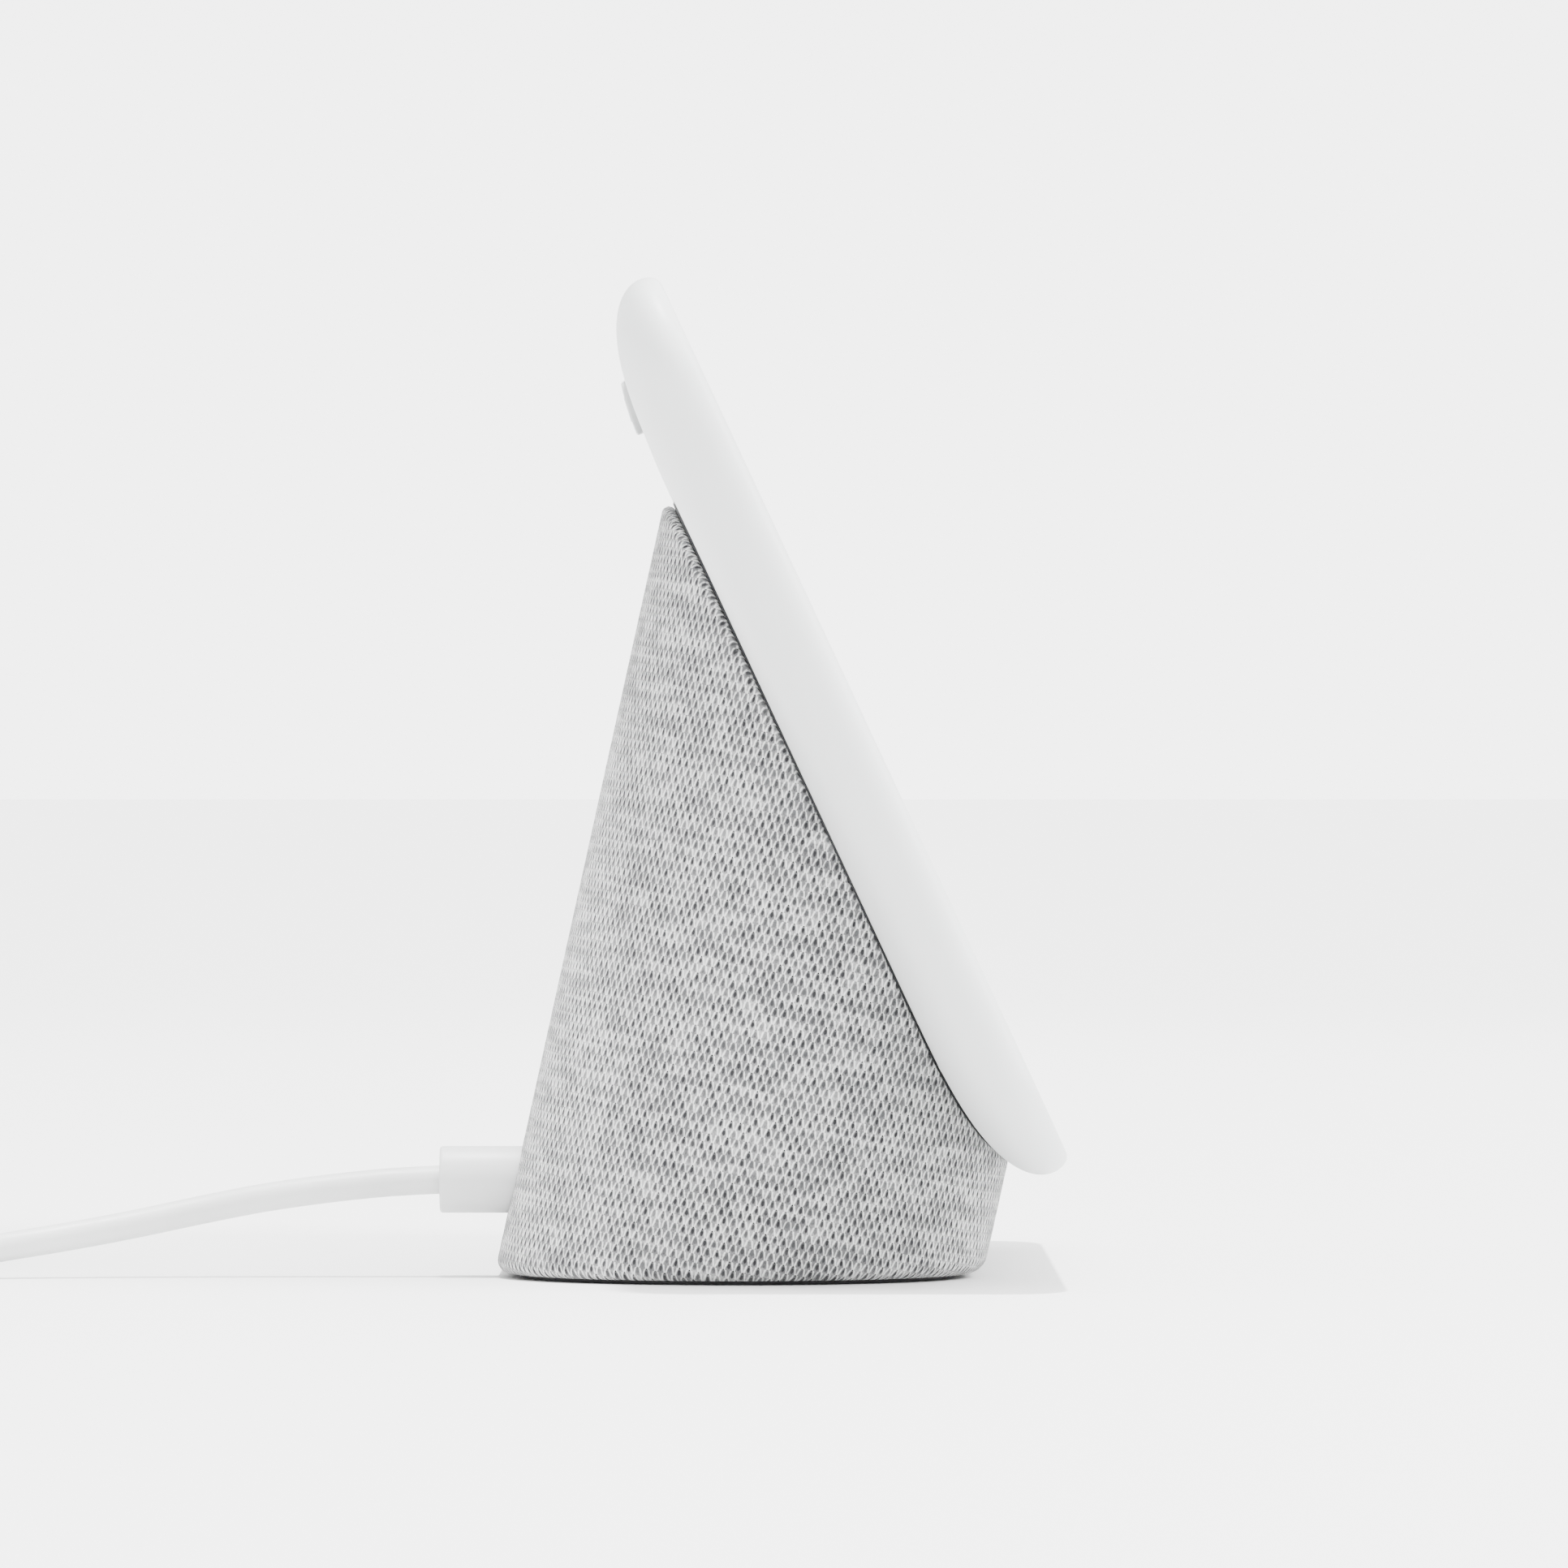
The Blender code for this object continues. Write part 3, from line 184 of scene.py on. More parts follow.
@dataclass(frozen=True)
class HeatherKnit:
    """A mesh-like knit in light heather grey, with painted shade between its strands and in its holes, on a
    UV map that counts its stitches and rows.
    """

    name: str = "heather_knit"
    # light is the yarn on the strands' tops, where a painted highlight falls; dark is painted shade in the
    # crevices between the strands.
    light: Colour = tint(0.90, 0.90, 0.895)
    dark: Colour = tint(0.135, 0.137, 0.14)
    # eyelet is painted shade in the knit's holes, and stands also for the black shell seen through them.
    eyelet: Colour = tint(0.022, 0.022, 0.024)
    relief: float = 0.00034
    leg_width: float = 0.17
    leg_start: float = 0.17
    leg_spread: float = 0.22
    sway: tuple[float, float, float] = (0.20, 0.24, 0.0)
    eyelet_size: tuple[float, float] = (0.175, 0.37)
    eyelet_depth: tuple[float, float] = (0.45, 1.0)
    dot_size: tuple[float, float] = (0.085, 0.11)
    dot_depth: tuple[float, float] = (0.3, 1.0)
    fibre_grain: tuple[float, float, float] = (9.0, 2.6, 1.0)
    streak_grain: tuple[float, float, float] = (0.10, 0.9, 1.0)
    mottle_grain: tuple[float, float, float] = (0.36, 0.50, 1.0)

    def build(self) -> bpy.types.Material:
        """Return the finish as a material."""
        graph = Graph(self.name)
        stitches = graph.add("TexCoord").outputs["UV"]
        sway = graph.add("TexNoise", {"Vector": stitches, "Scale": 0.9, "Detail": 2.0})
        offset = graph.add("VectorMath", {0: sway.outputs[1], 1: (0.5, 0.5, 0.5)}, operation="SUBTRACT")
        moved = graph.add("VectorMath", {0: offset.outputs[0], 1: self.sway}, operation="MULTIPLY")
        swayed = graph.add("VectorMath", {0: stitches, 1: moved.outputs[0]}, operation="ADD").outputs[0]
        axes = graph.add("SeparateXYZ", {0: swayed})
        across, along = axes.outputs[0], axes.outputs[1]

        legs = self.legs(graph, across, along)
        eyelets = self.spots(graph, across, along, 0.0, self.eyelet_size, self.eyelet_depth)
        dots = self.spots(graph, across, along, 0.5, self.dot_size, self.dot_depth)
        holes = graph.math("MAXIMUM", eyelets, dots)
        fibre = self.stretched_noise(graph, swayed, self.fibre_grain, 0.7)
        streak = self.stretched_noise(graph, stitches, self.streak_grain, 0.6)
        mottle = self.stretched_noise(graph, stitches, self.mottle_grain, 0.6)

        heather = graph.math("ADD", graph.math("MULTIPLY", streak, 0.5), graph.math("MULTIPLY", mottle, 0.5))
        # The yarn is darker where the legs and the fibre grain are low and paler where they are high:
        # painted shade in the crevices and a painted highlight on the strands' tops. The heather lift is the
        # yarn's own uneven tone.
        shade = graph.math("ADD", graph.math("MULTIPLY", legs, 0.62), graph.math("MULTIPLY", fibre, 0.55))
        lift = graph.span(heather, 0.36, 0.64, -0.36, 0.14)
        shaded_yarn = graph.mix(graph.span(graph.math("ADD", shade, lift), 0.0, 1.0), self.dark, self.light)
        # The eyelets and dots are painted near black: shade in the knit's holes, together with the black
        # shell behind them.
        graph.set(Base_Color=graph.mix(holes, shaded_yarn, self.eyelet), Roughness=0.93, Sheen_Weight=0.15,
                  Sheen_Roughness=0.5, Specular_IOR_Level=0.2)
        height = graph.math("ADD", graph.math("MULTIPLY", legs, 0.7), graph.math("MULTIPLY", fibre, 0.35))
        graph.bump(graph.math("SUBTRACT", height, holes), self.relief, 0.9)
        return graph.material

    @staticmethod
    def stretched_noise(graph: Graph, place: object, scale: Sequence[float], roughness: float):
        """Return a noise whose grain is longer one way, in stitches and rows."""
        vector = graph.add("VectorMath", {0: place, 1: tuple(scale)}, operation="MULTIPLY")
        return graph.noise(vector.outputs[0], 1.0, 3.0, roughness)

    @staticmethod
    def cell(graph: Graph, across: object, along: object, shift: tuple[float, float]) -> tuple:
        """Find the nearest place of a lattice whose rows are offset by half a stitch in turn.

        Args:
            graph: The material's graph.
            across: The coordinate that counts stitches.
            along: The coordinate that counts rows.
            shift: The lattice's shift, in stitches and rows.

        Returns:
            The distances from that place in stitches and rows, and its random value.
        """
        level = graph.math("SUBTRACT", along, shift[1])
        row = graph.math("ROUND", level)
        half = graph.math("MULTIPLY", graph.math("FLOORED_MODULO", row, 2.0), 0.5)
        odd = graph.math("ADD", half, shift[0])
        column = graph.math("ADD", graph.math("ROUND", graph.math("SUBTRACT", across, odd)), odd)
        place = graph.add("CombineXYZ", {0: column, 1: row})
        chance = graph.add("TexWhiteNoise", {"Vector": place.outputs[0]}).outputs["Value"]
        return graph.math("SUBTRACT", across, column), graph.math("SUBTRACT", level, row), chance

    def legs(self, graph: Graph, across: object, along: object):
        """Return the height of the stitches' two legs, which open upwards between the eyelets."""
        wide, high, _ = self.cell(graph, across, along, (0.5, 0.0))
        spread = graph.math("MULTIPLY_ADD", high, self.leg_spread)
        spread.node.inputs[2].default_value = self.leg_start
        away = graph.math("ABSOLUTE", graph.math("SUBTRACT", graph.math("ABSOLUTE", wide), spread))
        return graph.span(away, self.leg_width, 0.02)

    def spots(self, graph: Graph, across: object, along: object, shift: float,
              half_size: tuple[float, float], depths: tuple[float, float]):
        """Return a mask of oval spots at the lattice's places.

        Args:
            graph: The material's graph.
            across: The coordinate that counts stitches.
            along: The coordinate that counts rows.
            shift: Rows that the spots lie above the lattice's places.
            half_size: Half a spot's width in stitches, and half its height in rows.
            depths: The mask's least and greatest values in a spot, which is picked at random.
        """
        wide, high, chance = self.cell(graph, across, along, (0.0, shift))
        wide = graph.math("DIVIDE", wide, half_size[0])
        high = graph.math("DIVIDE", high, half_size[1])
        reach = graph.math("SQRT", graph.math("ADD", graph.math("MULTIPLY", wide, wide),
                                              graph.math("MULTIPLY", high, high)))
        depth = graph.math("POWER", chance, 0.6)
        return graph.math("MULTIPLY", graph.span(reach, 1.25, 0.6), graph.span(depth, 0.0, 1.0, *depths))


@dataclass(frozen=True)
class SoftJacket:
    """The smooth jacket of a cord, with a faint drag along it, on a UV map of its length."""

    name: str = "cord_jacket"
    colour: Colour = tint(0.62, 0.626, 0.622)
    roughness: float = 0.46

    def build(self) -> bpy.types.Material:
        """Return the finish as a material."""
        graph = Graph(self.name)
        drag = graph.noise(graph.place("UV", (6.0, 60.0, 1.0)), 3.0, 2.0)
        bloom = graph.noise(graph.place(), 90.0, 3.0)
        soiled = shaded(self.colour, 0.93)
        graph.set(Base_Color=graph.mix(graph.span(bloom, 0.35, 0.7), self.colour, soiled),
                  Roughness=graph.span(drag, 0.3, 0.7, self.roughness - 0.05, self.roughness + 0.07))
        graph.bump(drag, 0.00001)
        return graph.material


@dataclass(frozen=True)
class FootRubber:
    """Matte rubber with a pebbled skin and a few paler rubs."""

    name: str
    colour: Colour
    roughness: float = 0.78
    pebble_size: float = 0.0004

    def build(self) -> bpy.types.Material:
        """Return the finish as a material."""
        graph = Graph(self.name)
        place = graph.place()
        pebbles = graph.add("TexVoronoi", {"Vector": place, "Scale": 1 / self.pebble_size})
        rub = graph.noise(place, 70.0, 4.0, 0.6)
        pale = shaded(self.colour, 1.7, 0.01)
        graph.set(Base_Color=graph.mix(graph.span(rub, 0.5, 0.8), self.colour, pale),
                  Roughness=graph.span(rub, 0.3, 0.8, self.roughness, self.roughness - 0.12))
        graph.bump(pebbles.outputs["Distance"], 0.00003)
        return graph.material


@dataclass(frozen=True)
class InkedGlass:
    """Polished cover glass over ink or over a panel that is off."""

    name: str
    colour: Colour
    roughness: float = 0.06
    gloss: float = 0.22

    def build(self) -> bpy.types.Material:
        """Return the finish as a material."""
        graph = Graph(self.name)
        smear = graph.noise(graph.place(scale=(1.0, 1.0, 2.5)), 22.0, 4.0, 0.55)
        speck = graph.noise(graph.place(), 900.0, 1.0)
        lifted = shaded(self.colour, 1.06, 0.0015)
        graph.set(Base_Color=graph.mix(graph.span(speck, 0.4, 0.7), self.colour, lifted),
                  Roughness=graph.span(smear, 0.45, 0.75, self.roughness, self.roughness + 0.10),
                  Specular_IOR_Level=self.gloss)
        return graph.material


@dataclass(frozen=True)
class SheetMetal:
    """Stamped, plated or drawn metal: a directional grain with faint stains."""

    name: str
    colour: Colour
    roughness: float = 0.32
    grain: tuple[float, float, float] = (60.0, 60.0, 2400.0)
    grain_depth: float = 0.000004

    def build(self) -> bpy.types.Material:
        """Return the finish as a material."""
        graph = Graph(self.name)
        lines = graph.noise(graph.place(scale=self.grain), 1.0, 3.0)
        stain = graph.noise(graph.place(), 60.0, 4.0, 0.6)
        dull = shaded(self.colour, 0.82)
        graph.set(Base_Color=graph.mix(graph.span(stain, 0.4, 0.75), self.colour, dull), Metallic=1.0,
                  Roughness=graph.span(lines, 0.3, 0.7, self.roughness - 0.06, self.roughness + 0.1))
        graph.bump(lines, self.grain_depth)
        return graph.material


@dataclass(frozen=True)
class CircuitBoard:
    """Solder mask over copper tracks, with rows of tinned pads."""

    name: str = "circuit_board"
    mask: Colour = tint(0.012, 0.10, 0.045)
    track: Colour = tint(0.03, 0.19, 0.085)
    pad: Colour = tint(0.62, 0.60, 0.55)
    turn: tuple[float, float, float] = (math.radians(-65), 0.0, 0.0)

    def build(self) -> bpy.types.Material:
        """Return the finish as a material."""
        graph = Graph(self.name)
        place = graph.place(turn=self.turn)
        tracks = graph.add("TexBrick", {"Vector": place, "Scale": 260.0, "Mortar Size": 0.035,
                                        "Color1": tint(0, 0, 0), "Color2": tint(0, 0, 0),
                                        "Mortar": tint(1, 1, 1), "Brick Width": 1.9, "Row Height": 0.36})
        pads = graph.add("TexVoronoi", {"Vector": place, "Scale": 520.0, "Randomness": 0.25},
                         distance="CHEBYCHEV")
        area = graph.span(graph.noise(place, 95.0, 1.0), 0.56, 0.60)
        dot = graph.math("MULTIPLY", graph.span(pads.outputs["Distance"], 0.26, 0.22), area)
        ground = graph.mix(tracks.outputs["Color"], self.mask, self.track)
        graph.set(Base_Color=graph.mix(dot, ground, self.pad), Roughness=0.42, Metallic=dot)
        graph.bump(graph.math("ADD", tracks.outputs["Fac"], dot), 0.00003)
        return graph.material


@dataclass(frozen=True)
class RibbonFilm:
    """Amber film with its copper lines showing through."""

    name: str = "ribbon_film"
    film: Colour = tint(0.42, 0.17, 0.03)
    line: Colour = tint(0.62, 0.30, 0.10)

    def build(self) -> bpy.types.Material:
        """Return the finish as a material."""
        graph = Graph(self.name)
        wave = graph.add("TexWave", {"Vector": graph.place(), "Scale": 260.0, "Distortion": 0.0},
                         bands_direction="X")
        lines = graph.span(wave.outputs["Fac"], 0.45, 0.6)
        graph.set(Base_Color=graph.mix(lines, self.film, self.line), Roughness=0.33)
        graph.bump(lines, 0.00002)
        return graph.material


@dataclass(frozen=True)
class FibrousSheet:
    """Pressed pulp, dipped cloth or foam: an uneven, soft surface with a weave or pores."""

    name: str
    colour: Colour
    scale: float = 1400.0
    depth: float = 0.00006
    woven: bool = False

    def build(self) -> bpy.types.Material:
        """Return the finish as a material."""
        graph = Graph(self.name)
        place = graph.place()
        if self.woven:
            waves = [graph.add("TexWave", {"Vector": place, "Scale": self.scale / 4, "Distortion": 0.4},
                               bands_direction=axis).outputs["Fac"] for axis in ("X", "Z")]
            height = graph.math("MAXIMUM", *waves)
        else:
            height = graph.noise(place, self.scale, 4.0, 0.7)
        dark = shaded(self.colour, 0.6)
        graph.set(Base_Color=graph.mix(graph.span(height, 0.3, 0.7), dark, self.colour), Roughness=0.9)
        graph.bump(height, self.depth)
        return graph.material


@dataclass(frozen=True)
class Ferrite:
    """Sintered ferrite: dark, with pale specks and ground faces."""

    name: str = "ferrite"
    colour: Colour = tint(0.045, 0.045, 0.05)
    speck: Colour = tint(0.22, 0.22, 0.23)

    def build(self) -> bpy.types.Material:
        """Return the finish as a material."""
        graph = Graph(self.name)
        place = graph.place()
        specks = graph.add("TexVoronoi", {"Vector": place, "Scale": 1800.0}).outputs["Distance"]
        scuff = graph.noise(place, 300.0, 4.0, 0.7)
        graph.set(Base_Color=graph.mix(graph.span(specks, 0.16, 0.04), self.colour, self.speck),
                  Roughness=graph.span(scuff, 0.3, 0.7, 0.45, 0.65))
        graph.bump(scuff, 0.00004)
        return graph.material


@dataclass(frozen=True)
class Winding:
    """Enamelled wire wound side by side about the speaker's axis."""

    name: str = "copper_winding"
    colour: Colour = tint(0.66, 0.27, 0.12)
    turn: tuple[float, float, float] = (math.radians(77.2), 0.0, 0.0)

    def build(self) -> bpy.types.Material:
        """Return the finish as a material."""
        graph = Graph(self.name)
        wave = graph.add("TexWave", {"Vector": graph.place(turn=self.turn), "Scale": 1300.0},
                         bands_direction="Z")
        groove = wave.outputs["Fac"]
        dark = shaded(self.colour, 0.35)
        graph.set(Base_Color=graph.mix(groove, dark, self.colour), Metallic=0.9, Roughness=0.3)
        graph.bump(groove, 0.00006)
        return graph.material


class Finish(Enum):
    """The finishes of the object, by what they cover."""

    HOUSING = MouldedPlastic("housing_white", tint(0.60, 0.613, 0.612), 0.40)
    KEYS = MouldedPlastic("key_white", tint(0.52, 0.53, 0.53), 0.36, 0.00016)
    MARKER = MouldedPlastic("mute_marker", tint(0.80, 0.22, 0.04), 0.45)
    ADAPTER = MouldedPlastic("adapter_white", tint(0.60, 0.60, 0.595), 0.34, 0.00030, 0.000010)
    PLUG = MouldedPlastic("plug_white", tint(0.60, 0.607, 0.605), 0.44, 0.00014)
    # The black of the base's shell and plate; also worn by the black strip of painted shadow in the sleeve's
    # gap.
    SHELL_AND_GAP_SHADOW = MouldedPlastic("shell_black_and_gap_shadow", tint(0.018, 0.018, 0.020), 0.58, 0.00040, 0.000014)
    SWITCH = MouldedPlastic("switch_black", tint(0.022, 0.022, 0.024), 0.45, 0.00018)
    INSULATOR = MouldedPlastic("insulator_black", tint(0.03, 0.03, 0.032), 0.38)
    WIRE = MouldedPlastic("wire_jacket", tint(0.03, 0.03, 0.032), 0.5, 0.00010)
    KNIT = HeatherKnit()
    CORD = SoftJacket()
    FOOT = FootRubber("foot_rubber", tint(0.030, 0.031, 0.033))
    SURROUND = FootRubber("surround_rubber", tint(0.022, 0.022, 0.023), 0.55, 0.0002)
    TIE = FibrousSheet("tie_fleece", tint(0.40, 0.40, 0.40), 2600.0, 0.00008)
    BORDER = InkedGlass("border_glass", tint(0.60, 0.612, 0.612), 0.08, 0.5)
    BEZEL = InkedGlass("bezel_glass", tint(0.002, 0.002, 0.0022), 0.06, 0.12)
    SCREEN = InkedGlass("screen_glass", tint(0.004, 0.004, 0.0048), 0.05, 0.12)
    PANEL = InkedGlass("panel_back", tint(0.03, 0.03, 0.032), 0.35, 0.5)
    STEEL = SheetMetal("stamped_steel", tint(0.52, 0.52, 0.53), 0.36)
    TINNED = SheetMetal("tinned_can", tint(0.66, 0.66, 0.67), 0.28, (900.0, 40.0, 40.0))
    SCREW = SheetMetal("black_zinc_screw", tint(0.20, 0.20, 0.21), 0.34, (300.0, 300.0, 300.0))
    NICKEL = SheetMetal("nickel_plate", tint(0.70, 0.68, 0.63), 0.20, (40.0, 1500.0, 40.0))
    BOARD = CircuitBoard()
    RIBBON = RibbonFilm()
    FOAM = FibrousSheet("gasket_foam", tint(0.035, 0.035, 0.035), 1800.0)
    PULP = FibrousSheet("cone_pulp", tint(0.05, 0.05, 0.052), 1100.0, 0.00005)
    CLOTH = FibrousSheet("spider_cloth", tint(0.50, 0.34, 0.10), 2000.0, 0.00008, True)
    FERRITE = Ferrite()
    WINDING = Winding()

    @functools.cached_property
    def material(self) -> bpy.types.Material:
        """Return this finish's material, made at its first use."""
        return self.value.build()


# ---- Outlines and meshes --------------------------------------------------------------------------


def rounded_rectangle(half_width: float, half_height: float, radius: float, steps: int = 12) -> Outline:
    """Return a rectangle with round corners, counter-clockwise from its lower right."""
    points = []
    for index, (side_x, side_y) in enumerate(((1, -1), (1, 1), (-1, 1), (-1, -1))):
        centre = Vector((side_x * (half_width - radius), side_y * (half_height - radius)))
        for step in range(steps + 1):
            angle = math.radians(90) * (index - 1 + step / steps)
            points.append(centre + radius * Vector((math.cos(angle), math.sin(angle))))
    return points


def stadium(half_flat: float, radius: float, steps: int = 24, flat_steps: int = 1) -> Outline:
    """Return two half circles joined by flats, counter-clockwise from the lower right.

    Args:
        half_flat: Half the flats' length.
        radius: The half circles' radius.
        steps: Steps in each half circle.
        flat_steps: Steps along each flat.

    Returns:
        The outline's points, the first not repeated.
    """
    points = []
    for side, start in ((1, -90), (-1, 90)):
        for step in range(steps + 1):
            angle = math.radians(start + 180 * step / steps)
            points.append(Vector((side * half_flat + radius * math.cos(angle), radius * math.sin(angle))))
        for step in range(1, flat_steps):
            points.append(Vector((side * half_flat * (1 - 2 * step / flat_steps), side * radius)))
    return points


def pill(width: float, height: float, steps: int = 12) -> Outline:
    """Return a stadium of that width and height, upright where it is taller than wide."""
    short, long = sorted((width, height))
    outline = stadium((long - short) / 2, short / 2, steps)
    if height > width:
        outline = [Vector((-point.y, point.x)) for point in outline]
    return outline


def finish_mesh(bm: bmesh.types.BMesh, name: str, sharp_angle: float = 35.0) -> bpy.types.Object:
    """Turn a bmesh into an object in the scene, smooth but for its sharp edges."""
    mesh = bpy.data.meshes.new(name)
    bm.to_mesh(mesh)
    bm.free()
    mesh.shade_smooth()
    mesh.set_sharp_from_angle(angle=math.radians(sharp_angle))
    piece = bpy.data.objects.new(name, mesh)
    bpy.context.scene.collection.objects.link(piece)
    return piece


def loft(name: str, rings: Sequence[Sequence[Vector]], closed_path: bool = False,
         sharp_angle: float = 35.0) -> bpy.types.Object:
    """Skin outlines of one point count in order.

    Args:
        name: The piece's name.
        rings: The outlines.
        closed_path: Whether the last outline joins the first; otherwise both ends get a cap.
        sharp_angle: The angle in degrees from which an edge is sharp.

    Returns:
        The piece.
    """
    bm = bmesh.new()
    rows = [[bm.verts.new(point) for point in ring] for ring in rings]
    pairs = list(zip(rows, rows[1:]))
    if closed_path:
        pairs.append((rows[-1], rows[0]))
    else:
        bm.faces.new(rows[0])
        bm.faces.new(rows[-1])
    count = len(rows[0])
    for first, second in pairs:
        for index in range(count):
            after = (index + 1) % count
            bm.faces.new((first[index], first[after], second[after], second[index]))
    bmesh.ops.recalc_face_normals(bm, faces=bm.faces)
    return finish_mesh(bm, name, sharp_angle)


def turned(name: str, profile: Sequence[tuple[float, float]], place: Matrix, steps: int = 64,
           closed: bool = False) -> bpy.types.Object:
    """Turn a profile of radius and height about Z, and put it in place.

    Args:
        name: The piece's name.
        profile: Radius and height of each point; an open profile starts and ends on the axis.
        place: The matrix that takes the axis to its place.
        steps: Steps round the axis.
        closed: Whether the profile closes on itself, as a ring's does.

    Returns:
        The piece.
    """
    bm = bmesh.new()
    row = [bm.verts.new((radius, 0, height)) for radius, height in profile]
    edges = [bm.edges.new(pair) for pair in zip(row, row[1:])]
    if closed:
        edges.append(bm.edges.new((row[-1], row[0])))
    bmesh.ops.spin(bm, geom=row + edges, cent=(0, 0, 0), axis=(0, 0, 1), angle=math.tau, steps=steps)
    bmesh.ops.remove_doubles(bm, verts=bm.verts, dist=1e-6)
    bmesh.ops.recalc_face_normals(bm, faces=bm.faces)
    bmesh.ops.transform(bm, matrix=place, verts=bm.verts)
    return finish_mesh(bm, name)


def rounded_step(radius: float, height: float, edge: float, steps: int = 5) -> list[tuple[float, float]]:
    """Return profile points of a round edge at the top of a cylinder."""
    points = []
    for step in range(steps + 1):
        angle = math.radians(90) * step / steps
        points.append((radius - edge + edge * math.sin(angle), height - edge + edge * math.cos(angle)))
    return points


def capped(outline_at: Callable[[float, float], Sequence[Vector]], low: float, high: float, edge: float,
           steps: int = 5, foot_edge: float = 0.0) -> list[Sequence[Vector]]:
    """Outlines of an upright block whose upper edge is round.

    Args:
        outline_at: Gives the outline for an inset and a height.
        low: The block's foot.
        high: The block's top.
        edge: Radius of the upper edge.
        steps: Steps round the edge.
        foot_edge: Radius of the lower edge, or 0 for a sharp one.

    Returns:
        The outlines, from the foot up.
    """
    rings = []
    if foot_edge:
        for step in range(steps):
            angle = math.radians(90) * step / steps
            rings.append(outline_at(foot_edge * (1 - math.sin(angle)),
                                    low + foot_edge * (1 - math.cos(angle))))
        rings.append(outline_at(0.0, low + foot_edge))
    else:
        rings.append(outline_at(0.0, low))
    for step in range(steps + 1):
        angle = math.radians(90) * step / steps
        rings.append(outline_at(edge * (1 - math.cos(angle)), high - edge + edge * math.sin(angle)))
    return rings


def applied(piece: bpy.types.Object) -> bpy.types.Object:
    """Replace a piece's mesh with its evaluated one, and remove its modifiers."""
    bpy.context.view_layer.update()
    graph = bpy.context.evaluated_depsgraph_get()
    mesh = bpy.data.meshes.new_from_object(piece.evaluated_get(graph))
    piece.modifiers.clear()
    piece.data = mesh
    return piece


def carve(piece: bpy.types.Object, *cutters: bpy.types.Object) -> bpy.types.Object:
    """Cut cutters out of a piece for good, and delete them."""
    for cutter in cutters:
        modifier = piece.modifiers.new(cutter.name, "BOOLEAN")
        modifier.object = cutter
    applied(piece)
    for cutter in cutters:
        bpy.data.objects.remove(cutter, do_unlink=True)
    piece.data.shade_smooth()
    piece.data.set_sharp_from_angle(angle=math.radians(35))
    return piece


def cylinder(name: str, place: Matrix, radius: float, length: float, steps: int = 48) -> bpy.types.Object:
    """Return a plain cylinder, which serves as a cutter."""
    bm = bmesh.new()
    bmesh.ops.create_cone(bm, cap_ends=True, segments=steps, radius1=radius, radius2=radius, depth=length,
                          matrix=place)
    return finish_mesh(bm, name)


def dress(piece: bpy.types.Object, finish: Finish) -> bpy.types.Object:
    """Give a piece one finish all over."""
    piece.data.materials.clear()
    piece.data.materials.append(finish.material)
    return piece


def hand_in(piece: bpy.types.Object, body: str, slot: str, *nodes: str) -> bpy.types.Object:
    """Let a finished piece ride on its body and stand for its CAD nodes.

    Args:
        piece: The finished piece.
        body: The CAD body that it moves with.
        slot: The material slot's name. Not used.
        nodes: The CAD nodes that it stands for.

    Returns:
        The piece.
    """
    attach(piece, body)
    if nodes:
        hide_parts(*nodes)
    LOG.info("%s: %d faces on %s", piece.name, len(piece.data.polygons), body)
    return piece


# ---- Geometry Nodes -------------------------------------------------------------------------------


class Repeater:
    """A Geometry Nodes tree that sets copies of a small block along a line or over a grid."""

    def __init__(self, name: str, finish: Finish) -> None:
        """Start a tree.

        Args:
            name: The tree's name.
            finish: The finish of the copies.
        """
        self.tree = bpy.data.node_groups.new(name, "GeometryNodeTree")
        self.finish = finish
        self.tree.interface.new_socket("Geometry", in_out="OUTPUT", socket_type="NodeSocketGeometry")
        self.entry = self.tree.nodes.new("NodeGroupInput")
        self.values: dict[str, object] = {}

    def value(self, name: str, kind: str, setting: object) -> bpy.types.NodeSocket:
        """Add a named input to the tree, and return its socket inside."""
        socket = self.tree.interface.new_socket(name, in_out="INPUT", socket_type="NodeSocket" + kind)
        self.values[socket.identifier] = setting
        return self.entry.outputs[name]

    def add(self, kind: str, inputs: Optional[dict] = None, **settings: object) -> bpy.types.Node:
        """Add a node, with its inputs given as values or sockets."""
        node = self.tree.nodes.new(kind)
        for key, value in settings.items():
            setattr(node, key, value)
        for key, value in (inputs or {}).items():
            if isinstance(value, bpy.types.NodeSocket):
                self.tree.links.new(value, node.inputs[key])
            else:
                node.inputs[key].default_value = value
        return node

    def finish_tree(self, instances: bpy.types.NodeSocket) -> None:
        """Realise the copies and give them their finish."""
        real = self.add("GeometryNodeRealizeInstances", {0: instances})
        coated = self.add("GeometryNodeSetMaterial", {0: real.outputs[0], "Material": self.finish.material})
        exit_node = self.tree.nodes.new("NodeGroupOutput")
        self.tree.links.new(coated.outputs[0], exit_node.inputs[0])

    def run(self, name: str, place: Matrix) -> bpy.types.Object:
        """Evaluate the tree into a plain mesh in its place.

        Args:
            name: The new piece's name.
            place: The matrix that takes the tree's own frame to the object's.

        Returns:
            The piece, with no modifier left.
        """
        piece = bpy.data.objects.new(name, bpy.data.meshes.new(name))
        bpy.context.scene.collection.objects.link(piece)
        modifier = piece.modifiers.new(name, "NODES")
        modifier.node_group = self.tree
        for identifier, setting in self.values.items():
            modifier[identifier] = setting
        applied(piece)
        piece.data.transform(place)
        piece.data.shade_smooth()
        piece.data.set_sharp_from_angle(angle=math.radians(40))
        return piece


